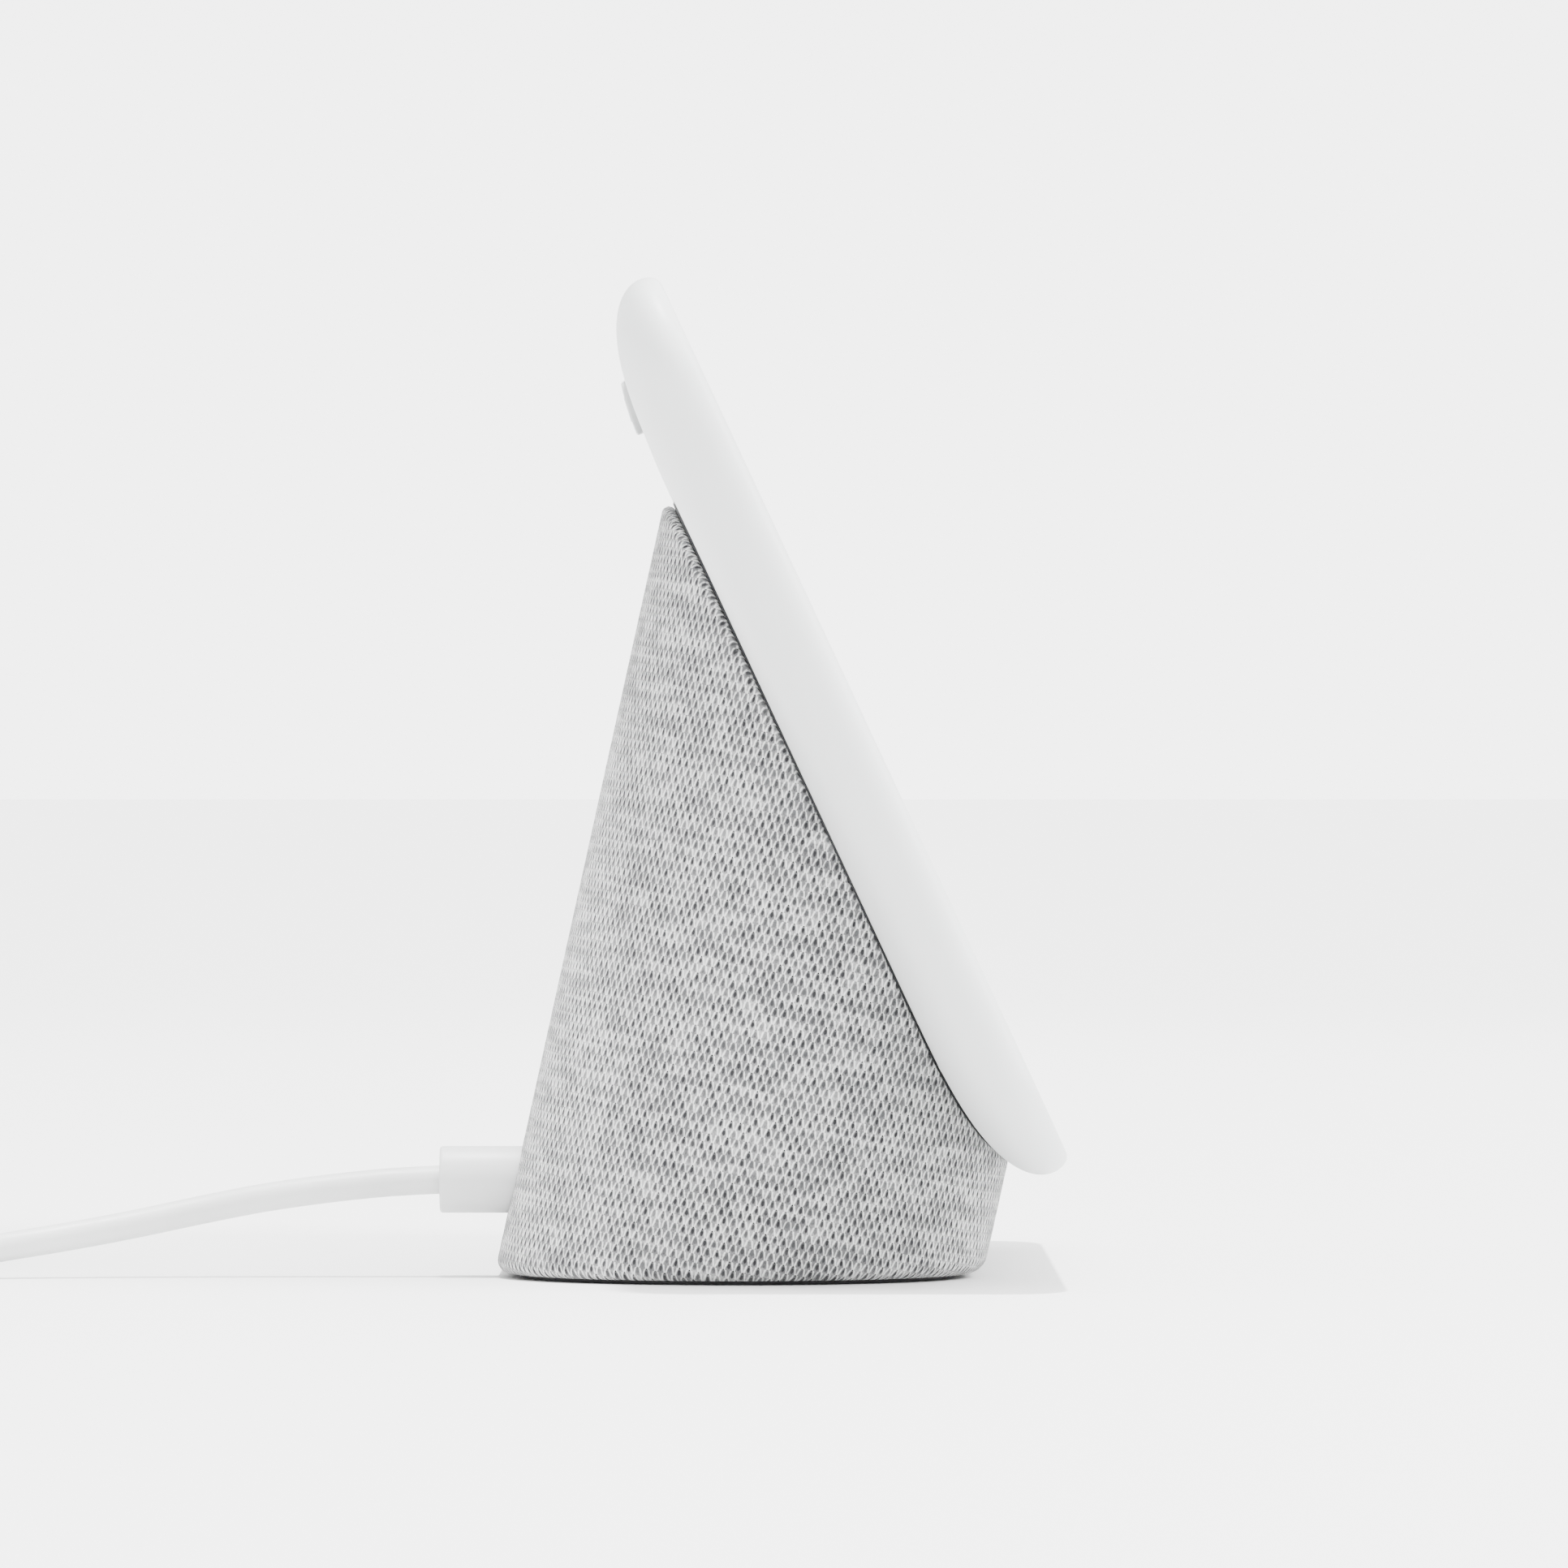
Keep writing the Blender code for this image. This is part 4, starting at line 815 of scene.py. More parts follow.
def ring_row(name: str, finish: Finish, place: Matrix, count: int, first_radius: float, last_radius: float,
             length: float, thickness: float) -> bpy.types.Object:
    """Rings of falling size along an axis, such as a strain relief's ribs.

    Args:
        name: The piece's name.
        finish: The rings' finish.
        place: The matrix that takes the axis Z to its place.
        count: Number of rings.
        first_radius: Radius of the first ring's centre line.
        last_radius: Radius of the last ring's centre line.
        length: Distance from the first ring to the last.
        thickness: Radius of a ring's own section.

    Returns:
        The piece.
    """
    rows = Repeater(name, finish)
    number = rows.value("Count", "Int", count)
    start = rows.value("First radius", "Float", first_radius)
    end = rows.value("Last radius", "Float", last_radius)
    reach = rows.value("Length", "Float", length)
    section = rows.value("Section radius", "Float", thickness)
    top = rows.add("ShaderNodeCombineXYZ", {"Z": reach})
    line = rows.add("GeometryNodeMeshLine", {"Count": number, "Offset": top.outputs[0]}, mode="END_POINTS")
    circle = rows.add("GeometryNodeCurvePrimitiveCircle", {"Resolution": 40, "Radius": 1.0})
    index = rows.add("GeometryNodeInputIndex")
    last = rows.add("ShaderNodeMath", {0: number, 1: 1.0}, operation="SUBTRACT")
    share = rows.add("ShaderNodeMath", {0: index.outputs[0], 1: last.outputs[0]}, operation="DIVIDE")
    size = rows.add("ShaderNodeMapRange", {"Value": share.outputs[0], "To Min": start, "To Max": end})
    copies = rows.add("GeometryNodeInstanceOnPoints", {
        "Points": line.outputs[0], "Instance": circle.outputs[0], "Scale": size.outputs[0]})
    real = rows.add("GeometryNodeRealizeInstances", {0: copies.outputs[0]})
    profile = rows.add("GeometryNodeCurvePrimitiveCircle", {"Resolution": 10, "Radius": section})
    tubes = rows.add("GeometryNodeCurveToMesh", {
        "Curve": real.outputs[0], "Profile Curve": profile.outputs[0]})
    rows.finish_tree(tubes.outputs[0])
    return rows.run(name, place)


def block_grid(name: str, finish: Finish, place: Matrix, counts: tuple[int, int],
               pitch: tuple[float, float], size: tuple[float, float, float]) -> bpy.types.Object:
    """Small blocks on a flat grid, such as grip ribs or parts on a board.

    Args:
        name: The piece's name.
        finish: The blocks' finish.
        place: The matrix that takes the grid's plane to its place.
        counts: Number of blocks across and along.
        pitch: Distance between blocks across and along.
        size: A block's size.

    Returns:
        The piece.
    """
    rows = Repeater(name, finish)
    across = rows.value("Count across", "Int", counts[0])
    along = rows.value("Count along", "Int", counts[1])
    width = rows.value("Width", "Float", max(pitch[0] * (counts[0] - 1), 1e-6))
    depth = rows.value("Depth", "Float", max(pitch[1] * (counts[1] - 1), 1e-6))
    shape = rows.value("Block size", "Vector", size)
    grid = rows.add("GeometryNodeMeshGrid", {"Size X": width, "Size Y": depth, "Vertices X": across,
                                             "Vertices Y": along})
    cube = rows.add("GeometryNodeMeshCube", {"Size": shape})
    points = rows.add("GeometryNodeMeshToPoints", {0: grid.outputs[0]})
    copies = rows.add("GeometryNodeInstanceOnPoints", {"Points": points.outputs[0],
                                                       "Instance": cube.outputs[0]})
    rows.finish_tree(copies.outputs[0])
    return rows.run(name, place)


# ---- Display head ---------------------------------------------------------------------------------


@dataclass
class DisplayHead:
    """The plate that holds the screen, in its own frame: X across, Y up the plate, Z out of it."""

    width: float = 0.1785
    height: float = 0.1147
    tilt: float = math.radians(25)
    glass_thickness: float = 0.0009
    corner_radius: float = 0.0125
    corner_loss: float = 0.25
    front_inset: float = 0.0014
    front_depth: float = 0.0022
    lip_inset: float = 0.0022
    lip_depth: float = 0.00012
    back: float = 0.0093
    back_length: float = 0.026
    back_power: float = 3.6
    back_rings: int = 30
    back_crowding: float = 2.2
    wall: float = 0.0018
    cut_depth: float = 0.0048
    cut_rise: float = 0.0015
    cut_lip: float = 0.00045
    screen: tuple[float, float] = (0.1590, 0.0905)
    active: tuple[float, float] = (0.1542, 0.0859)
    screen_corner: float = 0.0045
    active_corner: float = 0.0008
    glass_edge: float = 0.00025
    port_spread: float = 0.033
    port_radius: float = 0.0005
    port_depth: float = 0.00035
    port_floor: float = 0.00007
    port_fit: float = 0.98
    window_radius: float = 0.0015
    window_edge: float = 0.00005
    window_rise: float = 0.00003
    mute_centre: tuple[float, float] = (0.0, 0.0465)
    mute_cap: tuple[float, float] = (0.0115, 0.0066)
    mute_slot: tuple[float, float] = (0.0162, 0.0073)
    mute_rise: float = 0.00085
    mute_edge: float = 0.0003
    mute_dish: float = 0.00008
    mute_flange: tuple[float, float, float] = (0.0210, 0.0050, 0.00065)
    mute_flange_depth: float = 0.005325
    marker_offset: float = 0.0091
    marker_lift: float = 0.00004
    marker_size: tuple[float, float, float] = (0.0017, 0.0046, 0.00006)
    rib_reach: float = 0.0015
    rib_pitch: float = 0.0011
    rib_width: float = 0.00035
    rib_height: float = 0.00024
    rib_sink: float = 0.00005
    rocker_centre: tuple[float, float] = (0.076, 0.022)
    rocker_cap: tuple[float, float] = (0.0050, 0.0210)
    rocker_slot: tuple[float, float] = (0.0058, 0.0218)
    rocker_rise: float = 0.00055
    rocker_edge: float = 0.0004
    rocker_dish: float = 0.00012
    rocker_flange: tuple[float, float, float] = (0.0076, 0.0140, 0.0006)
    rocker_flange_depth: float = 0.0055
    flange_corner: float = 0.0008
    flange_edge: float = 0.0001
    neck_centre: tuple[float, float] = (0.0, -0.011)
    neck_opening: tuple[float, float] = (0.016, 0.010)
    neck_spread: tuple[float, float] = (0.026, 0.009)
    screw_hole: tuple[float, float] = (0.0032, 0.00319)
    chip_counts: tuple[int, int] = (9, 2)
    chip_pitch: tuple[float, float] = (0.0098, 0.0024)
    chip_size: tuple[float, float, float] = (0.0022, 0.0012, 0.0005)
    chip_row: float = 0.0095
    chip_lift: float = 0.00065
    place: Matrix = field(init=False)

    def __post_init__(self) -> None:
        """Work out the plate's place from the CAD glass."""
        low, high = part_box("front_glass")
        turn = Matrix.Rotation(math.radians(90) - self.tilt, 4, "X")
        front = turn @ Vector((0, 0, self.glass_thickness / 2))
        self.place = Matrix.Translation((low + high) / 2 + front) @ turn

    def back_depth(self, inset: float) -> float:
        """Return how deep the back lies behind the front, at a distance in from the outline."""
        fade = (1 - min(max(inset, 0.0), self.back_length) / self.back_length) ** self.back_power
        return self.front_depth + (self.back - self.front_depth) * math.sqrt(max(1 - fade, 0.0))

    def depth_at(self, x: float, up: float) -> float:
        """Return the back's depth at a place on the plate."""
        return self.back_depth(min(self.width / 2 - abs(x), self.height / 2 - abs(up)))

    def world(self, x: float, up: float, depth: float) -> Vector:
        """Return the world place of a point behind the plate's front."""
        return self.place @ Vector((x, up, -depth))

    def ring(self, inset: float, depth: float, steps: int = 18) -> Outline:
        """Return the plate's outline, in the world, at an inset and a depth."""
        outline = rounded_rectangle(self.width / 2 - inset, self.height / 2 - inset,
                                    self.corner_radius - self.corner_loss * inset, steps)
        return [self.world(point.x, point.y, depth) for point in outline]

    def build(self) -> None:
        """Build every piece of the display head that shows."""
        self.build_housing()
        self.build_glass()
        self.build_mute_slider()
        self.build_volume_rocker()
        self.build_board_parts()

    def build_housing(self) -> None:
        """Build the rear housing: a deep-edged shell, cut for the two controls and the neck."""
        outer = []
        for step in range(9):
            angle = math.radians(90) * step / 8
            outer.append(self.ring(self.front_inset * (1 - math.sin(angle)),
                                   self.front_depth * (1 - math.cos(angle))))
        insets = [self.back_length * (step / self.back_rings) ** self.back_crowding
                  for step in range(1, self.back_rings + 1)]
        outer.extend(self.ring(inset, self.back_depth(inset)) for inset in insets)
        inner = [self.ring(self.lip_inset, self.lip_depth), self.ring(self.lip_inset, self.wall)]
        inner.extend(self.ring(inset + self.wall, self.back_depth(inset) - self.wall)
                     for inset in insets[6::3])
        housing = loft("rear_housing_shell", inner[::-1] + outer)
        neck = [self.pill_solid("neck_cut", self.neck_centre, self.neck_opening)]
        for side in (-1, 1):
            for level in (-1, 1):
                centre = (self.neck_centre[0] + side * self.neck_spread[0],
                          self.neck_centre[1] + level * self.neck_spread[1])
                neck.append(self.pill_solid("screw_cut", centre, self.screw_hole))
        carve(housing, self.pill_solid("mute_cut", self.mute_centre, self.mute_slot, self.cut_lip),
              self.pill_solid("rocker_cut", self.rocker_centre, self.rocker_slot, self.cut_lip), *neck)
        dress(housing, Finish.HOUSING)
        hand_in(housing, "root", "white_plastic", "rear_housing")

    def pill_solid(self, name: str, centre: tuple[float, float], size: tuple[float, float],
                   flare: float = 0.0) -> bpy.types.Object:
        """A pill-shaped cutter through the back, which opens out in a round lip at the surface.

        Args:
            name: The cutter's name.
            centre: Its centre on the plate.
            size: Its width and height.
            flare: Radius of the round lip, or 0 for none.

        Returns:
            The cutter.
        """
        levels = [(0.0, -self.cut_depth)]
        if flare:
            for step in range(7):
                angle = math.radians(90) * step / 6
                levels.append((flare * (1 - math.cos(angle)), flare * (math.sin(angle) - 1)))
        levels.append((flare, self.cut_rise))
        rings = []
        for spread, rise in levels:
            outline = pill(size[0] + 2 * spread, size[1] + 2 * spread, 14)
            rings.append([self.world(centre[0] + point.x, centre[1] + point.y,
                                     self.depth_at(centre[0] + point.x, centre[1] + point.y) + rise)
                          for point in outline])
        return loft(name, rings)

    def build_glass(self) -> None:
        """Build the cover glass, its white border, the dark screen and the ports in its upper edge."""
        inset = self.lip_inset + GAP
        edge = self.glass_edge
        half_width, half_height = self.width / 2, self.height / 2
        radius = self.corner_radius - self.corner_loss * inset
        outlines = [(half_width - inset, half_height - inset, radius, self.glass_thickness),
                    (half_width - inset, half_height - inset, radius, edge),
                    (half_width - inset - 0.3 * edge, half_height - inset - 0.3 * edge, radius, 0.3 * edge),
                    (half_width - inset - edge, half_height - inset - edge, radius - edge, 0.0),
                    (self.screen[0] / 2, self.screen[1] / 2, self.screen_corner, 0.0),
                    (self.active[0] / 2, self.active[1] / 2, self.active_corner, 0.0)]
        rings = [[self.world(point.x, point.y, depth) for point in rounded_rectangle(wide, high, round_, 18)]
                 for wide, high, round_, depth in outlines]
        glass = loft("cover_glass", rings)
        for finish in (Finish.BORDER, Finish.BEZEL, Finish.SCREEN):
            glass.data.materials.append(finish.material)
        normal = (self.place.to_3x3() @ Vector((0, 0, 1))).normalized()
        to_plate = self.place.inverted()
        slack = 1e-5
        for face in glass.data.polygons:
            local = to_plate @ face.center
            flat = face.normal.dot(normal) > 0.99
            within = [abs((to_plate @ glass.data.vertices[index].co).x) for index in face.vertices]
            heights = [abs((to_plate @ glass.data.vertices[index].co).y) for index in face.vertices]
            across, up = max(within) - slack, max(heights) - slack
            inside = across < self.screen[0] / 2 and up < self.screen[1] / 2
            core = across < self.active[0] / 2 and up < self.active[1] / 2
            if flat and inside and local.z > -edge:
                face.material_index = 2 if core else 1
        row = (self.screen[1] / 2 + half_height - inset) / 2
        ports = [self.place @ Matrix.Translation((side * self.port_spread, row, 0)) for side in (-1, 1)]
        carve(glass, *(cylinder("port_cut", port, self.port_radius, self.glass_thickness, 24)
                       for port in ports))
        hand_in(glass, "root", "screen_glass", "front_glass")
        window_profile = [(0, self.window_rise), (self.window_radius, self.window_rise),
                          (self.window_radius + self.window_edge, 0.0), (0, 0.0)]
        window = turned("light_sensor_window", window_profile,
                        self.place @ Matrix.Translation((0, row, 0)), 40)
        dress(window, Finish.BEZEL)
        hand_in(window, "root", "screen_glass")
        reach, top = self.port_radius * self.port_fit, -self.port_depth
        foot = top - self.port_floor
        for number, port in enumerate(ports, 1):
            pit = turned("microphone_port_%d" % number, [(0, top), (reach, top), (reach, foot), (0, foot)],
                         port, 24)
            dress(pit, Finish.INSULATOR)
            hand_in(pit, "root", "screen_glass")

    def key(self, name: str, centre: tuple[float, float], size: tuple[float, float], rise: float,
            foot: float, edge: float, dish: float) -> bpy.types.Object:
        """A pill-shaped key that stands out of the back and follows its curve, with a dished top.

        Args:
            name: The piece's name.
            centre: Its centre on the plate.
            size: Its width and height.
            rise: How far it stands out of the housing.
            foot: Depth of its inner face.
            edge: Radius of its edge.
            dish: How far the middle of its face is hollowed.

        Returns:
            The piece.
        """
        def outline_at(inset: float, rise_here: Optional[float]) -> Outline:
            points = []
            for point in pill(size[0] - 2 * inset, size[1] - 2 * inset, 14):
                x, up = centre[0] + point.x, centre[1] + point.y
                depth = foot if rise_here is None else self.depth_at(x, up) + rise_here
                points.append(self.world(x, up, depth))
            return points

        rings = [outline_at(0.0, None), outline_at(0.0, rise - edge)]
        rings.extend(capped(outline_at, rise - edge, rise, edge, 6)[2:])
        reach = min(size) / 2
        for step in range(1, 6):
            share = step / 6
            inset = edge + (reach - edge) * share
            rings.append(outline_at(inset, rise - dish * math.sin(math.radians(90) * share)))
        return loft(name, rings)

    def flange(self, name: str, centre: tuple[float, float], size: tuple[float, float, float],
               depth: float) -> bpy.types.Object:
        """Return the flat flange behind a key, with softened edges."""
        def outline_at(inset: float, height: float) -> Outline:
            points = rounded_rectangle(size[0] / 2 - inset, size[1] / 2 - inset,
                                       self.flange_corner - inset, 4)
            return [self.world(centre[0] + point.x, centre[1] + point.y, height) for point in points]

        rings = capped(outline_at, depth - size[2] / 2, depth + size[2] / 2, self.flange_edge, 2,
                       self.flange_edge)
        return dress(loft(name, rings), Finish.KEYS)

    def build_mute_slider(self) -> None:
        """Build the mute slider, its flange, the marker on it and its grip ribs."""
        cap = dress(self.key("mute_slider_cap", self.mute_centre, self.mute_cap, self.mute_rise,
                             self.mute_flange_depth, self.mute_edge, self.mute_dish), Finish.KEYS)
        hand_in(cap, "mute_switch", "white_plastic", "mute_slider")
        flange = self.flange("mute_slider_flange", self.mute_centre, self.mute_flange,
                             self.mute_flange_depth)
        hand_in(flange, "mute_switch", "white_plastic")
        outer_face = self.mute_flange_depth + self.mute_flange[2] / 2
        marker_place = self.place @ Matrix.Translation((self.mute_centre[0] - self.marker_offset,
                                                        self.mute_centre[1],
                                                        -outer_face - self.marker_lift))
        marker = block_grid("mute_marker", Finish.MARKER, marker_place, (1, 1), (0.0, 0.0),
                            self.marker_size)
        hand_in(marker, "mute_switch", "white_plastic")
        up, reach = self.mute_centre[1], self.rib_reach
        depths = [self.depth_at(0.0, up - reach), self.depth_at(0.0, up + reach)]
        slope = math.atan2(depths[0] - depths[1], 2 * reach)
        ribs_depth = sum(depths) / 2 + self.mute_rise - self.rib_sink
        ribs_place = (self.place @ Matrix.Translation((0.0, up, -ribs_depth))
                      @ Matrix.Rotation(slope, 4, "X"))
        ribs = block_grid("mute_slider_ribs", Finish.KEYS, ribs_place, (3, 1), (self.rib_pitch, 0.0),
                          (self.rib_width, 2 * reach, self.rib_height))
        hand_in(ribs, "mute_switch", "white_plastic")

    def build_volume_rocker(self) -> None:
        """Build the volume rocker and its flange."""
        rocker = dress(self.key("volume_rocker_key", self.rocker_centre, self.rocker_cap, self.rocker_rise,
                                self.rocker_flange_depth, self.rocker_edge, self.rocker_dish),
                       Finish.KEYS)
        hand_in(rocker, "volume_key", "white_plastic", "volume_rocker")
        flange = self.flange("volume_rocker_flange", self.rocker_centre, self.rocker_flange,
                             self.rocker_flange_depth)
        hand_in(flange, "volume_key", "white_plastic")

    def build_board_parts(self) -> None:
        """Build the chips that stand on the main board."""
        low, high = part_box("main_board")
        centre = self.place.inverted() @ ((low + high) / 2)
        place = self.place @ Matrix.Translation((0.0, centre.y - self.chip_row, centre.z - self.chip_lift))
        chips = block_grid("main_board_chips", Finish.SWITCH, place, self.chip_counts, self.chip_pitch,
                           self.chip_size)
        hand_in(chips, "root", "switch_black")


# ---- Base -----------------------------------------------------------------------------------------


@dataclass
class SpeakerBase:
    """The knit-covered base: a leaning stadium cut off by the display's back."""

    head: DisplayHead
    half_flat: float = 0.035
    radius: float = 0.02925
    centre_y: float = 0.0050
    lean: float = 0.2200
    bottom: float = 0.0005
    edge: float = 0.0020
    lip: float = 0.0026
    thickness: float = 0.0007
    top_roll: float = 0.00085
    flange: float = 0.0008
    foot_radius: float = 0.0261
    foot_top: float = 0.0015
    foot_top_edge: float = 0.0002
    foot_low_edge: float = 0.0004
    stitch: float = 0.00117
    row: float = 0.00101
    arc_steps: int = 96
    flat_steps: int = 72
    side_rows: int = 56
    # A thin black strip in the gap under the sleeve's upper edge paints the shadow there.
    shadow_strip_start: float = 0.72
    shadow_strip_width: float = 0.0020
    shadow_strip_shares: tuple[float, float] = (0.15, 0.85)
    inlet: tuple[float, float] = (-0.034, 0.01165)
    inlet_radius: float = 0.00445
    inlet_cut_y: float = 0.030
    inlet_cut_length: float = 0.016
    search_span: tuple[float, float] = (0.008, 0.100)
    search_steps: int = 24
    groove: tuple = ((0.0075, 0.0), (0.0072, 0.0006), (0.0058, 0.0006), (0.0055, 0.0))

    def build(self) -> None:
        """Build the sleeve, the black strip of painted shadow at its upper edge, and the foot."""
        self.build_sleeve()
        self.build_shadow_strip()
        self.build_foot()

    def point(self, station: Vector, offset: float, height: float) -> Vector:
        """Return the place of a station of the outline, moved out by an offset, at a height."""
        ratio = (self.radius + offset) / self.radius
        side = math.copysign(self.half_flat, station.x) if abs(station.x) > self.half_flat else station.x
        across = side + (station.x - side) * ratio
        return Vector((across, self.centre_y - self.lean * height + station.y * ratio, height))

    def meets_display(self, station: Vector, offset: float, gap: float = GAP) -> Vector:
        """Return where a station's line along the lean meets the display's back, less a gap."""
        to_plate = self.head.place.inverted()

        def clear(height: float) -> bool:
            local = to_plate @ self.point(station, offset, height)
            return -local.z > self.head.depth_at(local.x, local.y) + gap

        low, high = self.search_span
        for _ in range(self.search_steps):
            middle = (low + high) / 2
            low, high = (middle, high) if clear(middle) else (low, middle)
        return self.point(station, offset, low)

    def stations(self) -> Outline:
        """Return the outline's stations, from the middle of the front round and back to it."""
        outline = stadium(self.half_flat, self.radius, self.arc_steps, self.flat_steps)
        front = next(index for index, point in enumerate(outline)
                     if abs(point.x) < TOUCHING and point.y < 0)
        return outline[front:] + outline[:front]

    def lower_rows(self, station: Vector) -> list[Vector]:
        """Return the rows of one line from the lower lip to the foot of the side."""
        line = [self.point(station, -self.lip, self.bottom)]
        for step in range(7):
            angle = math.radians(90) * (step / 6 - 1)
            line.append(self.point(station, -self.edge + self.edge * math.cos(angle),
                                   self.bottom + self.edge + self.edge * math.sin(angle)))
        return line

    def roll(self, station: Vector) -> tuple[list[Vector], float]:
        """Work out the round upper edge, where the sleeve turns in along the housing.

        Args:
            station: The outline's station.

        Returns:
            The roll's points from the side inwards, and how far in from the corner it ends.
        """
        probe, steps = 0.001, 8
        corner = self.meets_display(station, 0.0)
        inward = self.meets_display(station, -probe) - corner
        down = (self.point(station, 0.0, self.bottom + self.edge) - corner).normalized()
        half_angle = down.angle(inward) / 2
        reach = self.top_roll / math.tan(half_angle)
        end_inset = probe * reach / inward.length
        ends = [corner + down * reach, self.meets_display(station, -end_inset)]
        bisector = (ends[0] + ends[1]) / 2 - corner
        centre = corner + bisector.normalized() * self.top_roll / math.sin(half_angle)
        spokes = [end - centre for end in ends]
        points = [centre + spokes[0].lerp(spokes[1], step / steps).normalized() * self.top_roll
                  for step in range(steps + 1)]
        return points, end_inset

    def build_sleeve(self) -> None:
        """Build the stretched sleeve, with a UV map that counts its stitches and rows."""
        stations = self.stations()
        axis = Vector((0, -self.lean, 1)).normalized()
        lines, levels = [], []
        for station in stations:
            line = self.lower_rows(station)
            roll, end_inset = self.roll(station)
            side = line[-1]
            line.extend(side.lerp(roll[0], step / self.side_rows) for step in range(1, self.side_rows))
            level = [point.dot(axis) for point in [*line, roll[0]]]
            upper = [*roll, self.meets_display(station, -end_inset - self.flange)]
            for before, after in zip(upper, upper[1:]):
                level.append(level[-1] + (after - before).length)
            lines.append([*line, *upper])
            levels.append(level)
        walked = [0.0]
        for first, second in zip(stations, stations[1:] + stations[:1]):
            walked.append(walked[-1] + (second - first).length)
        sleeve = self.skin_sleeve(lines, levels, walked)
        modifier = sleeve.modifiers.new("thickness", "SOLIDIFY")
        modifier.thickness = self.thickness
        modifier.offset = -1.0
        applied(sleeve)
        self.turn_outwards(sleeve)
        turn = Matrix.Rotation(math.radians(90), 4, "X")
        hole = Matrix.Translation((self.inlet[0], self.inlet_cut_y, self.inlet[1])) @ turn
        carve(sleeve, cylinder("inlet_cut", hole, self.inlet_radius, self.inlet_cut_length))
        dress(sleeve, Finish.KNIT)
        hand_in(sleeve, "root", "heather_knit", "fabric_sleeve")
        heights = [level[-1] - level[0] for level in levels]

    def skin_sleeve(self, lines: Sequence[Sequence[Vector]], levels: Sequence[Sequence[float]],
                    walked: Sequence[float]) -> bpy.types.Object:
        """Skin the sleeve's lines into one closed band.

        Args:
            lines: The points of each line, from the lower lip up.
            levels: The length of knit below each point.
            walked: The way round the base to each line, and back to the first.

        Returns:
            The band, with its UV map in stitches and rows.
        """
        stitches = round(walked[-1] / self.stitch)
        bm = bmesh.new()
        uv_layer = bm.loops.layers.uv.new("stitches")
        columns = [[bm.verts.new(point) for point in line] for line in lines]
        count = len(columns)
        for index in range(count):
            after = (index + 1) % count
            for level in range(len(columns[0]) - 1):
                corners = ((index, level, index), (after, level, index + 1),
                           (after, level + 1, index + 1), (index, level + 1, index))
                face = bm.faces.new([columns[column][at] for column, at, _ in corners])
                for loop, (column, at, mark) in zip(face.loops, corners):
                    across = stitches * walked[mark] / walked[-1]
                    loop[uv_layer].uv = (across, levels[column][at] / self.row)
        bmesh.ops.recalc_face_normals(bm, faces=bm.faces)
        return finish_mesh(bm, "knit_sleeve", 80.0)

    @staticmethod
    def turn_outwards(piece: bpy.types.Object) -> None:
        """Make a closed piece's faces point outwards."""
        bm = bmesh.new()
        bm.from_mesh(piece.data)
        if bm.calc_volume(signed=True) < 0:
            bmesh.ops.reverse_faces(bm, faces=bm.faces)
        bm.to_mesh(piece.data)
        bm.free()

    def build_shadow_strip(self) -> None:
        """Build a thin black strip in the gap between the sleeve and the housing: a painted shadow, where
        there is only shade.
        """
        near, far = (GAP * share for share in self.shadow_strip_shares)
        rings = []
        for station in self.stations():
            start = self.roll(station)[1] * self.shadow_strip_start
            end = start + self.shadow_strip_width
            corners = ((start, near), (end, near), (end, far), (start, far))
            rings.append([self.meets_display(station, -inset, gap) for inset, gap in corners])
        shadow_strip = dress(loft("painted_gap_shadow", rings, True), Finish.SHELL_AND_GAP_SHADOW)
        hand_in(shadow_strip, "root", "foam_black")

    def build_foot(self) -> None:
        """Build the foot: a pad with a round edge, and a shallow groove near the edge of its face."""
        def outline_at(inset: float, height: float) -> Outline:
            return [Vector((point.x, point.y + self.centre_y, height))
                    for point in stadium(self.half_flat, self.foot_radius - inset, 48)]

        rings = [outline_at(inset, height) for inset, height in self.groove]
        rings.extend(capped(outline_at, 0.0, self.foot_top, self.foot_top_edge, 4, self.foot_low_edge))
        foot = dress(loft("rubber_foot_pad", rings), Finish.FOOT)
        hand_in(foot, "root", "dark_rubber", "rubber_foot")


# ---- Plug, cord and adapter -----------------------------------------------------------------------


def smooth_route(points: Sequence[Vector], spacing: float) -> list[Vector]:
    """Return points at about an even spacing along a smooth curve through the given ones."""
    knots = [2 * points[0] - points[1], *points, 2 * points[-1] - points[-2]]
    route = [points[0].copy()]
    for before, start, end, after in zip(knots, knots[1:], knots[2:], knots[3:]):
        steps = max(1, round((end - start).length / spacing))
        for step in range(1, steps + 1):
            t = step / steps
            route.append(0.5 * (2 * start + (end - before) * t
                                + (2 * before - 5 * start + 4 * end - after) * t ** 2
                                + (3 * start - before - 3 * end + after) * t ** 3))
    return route


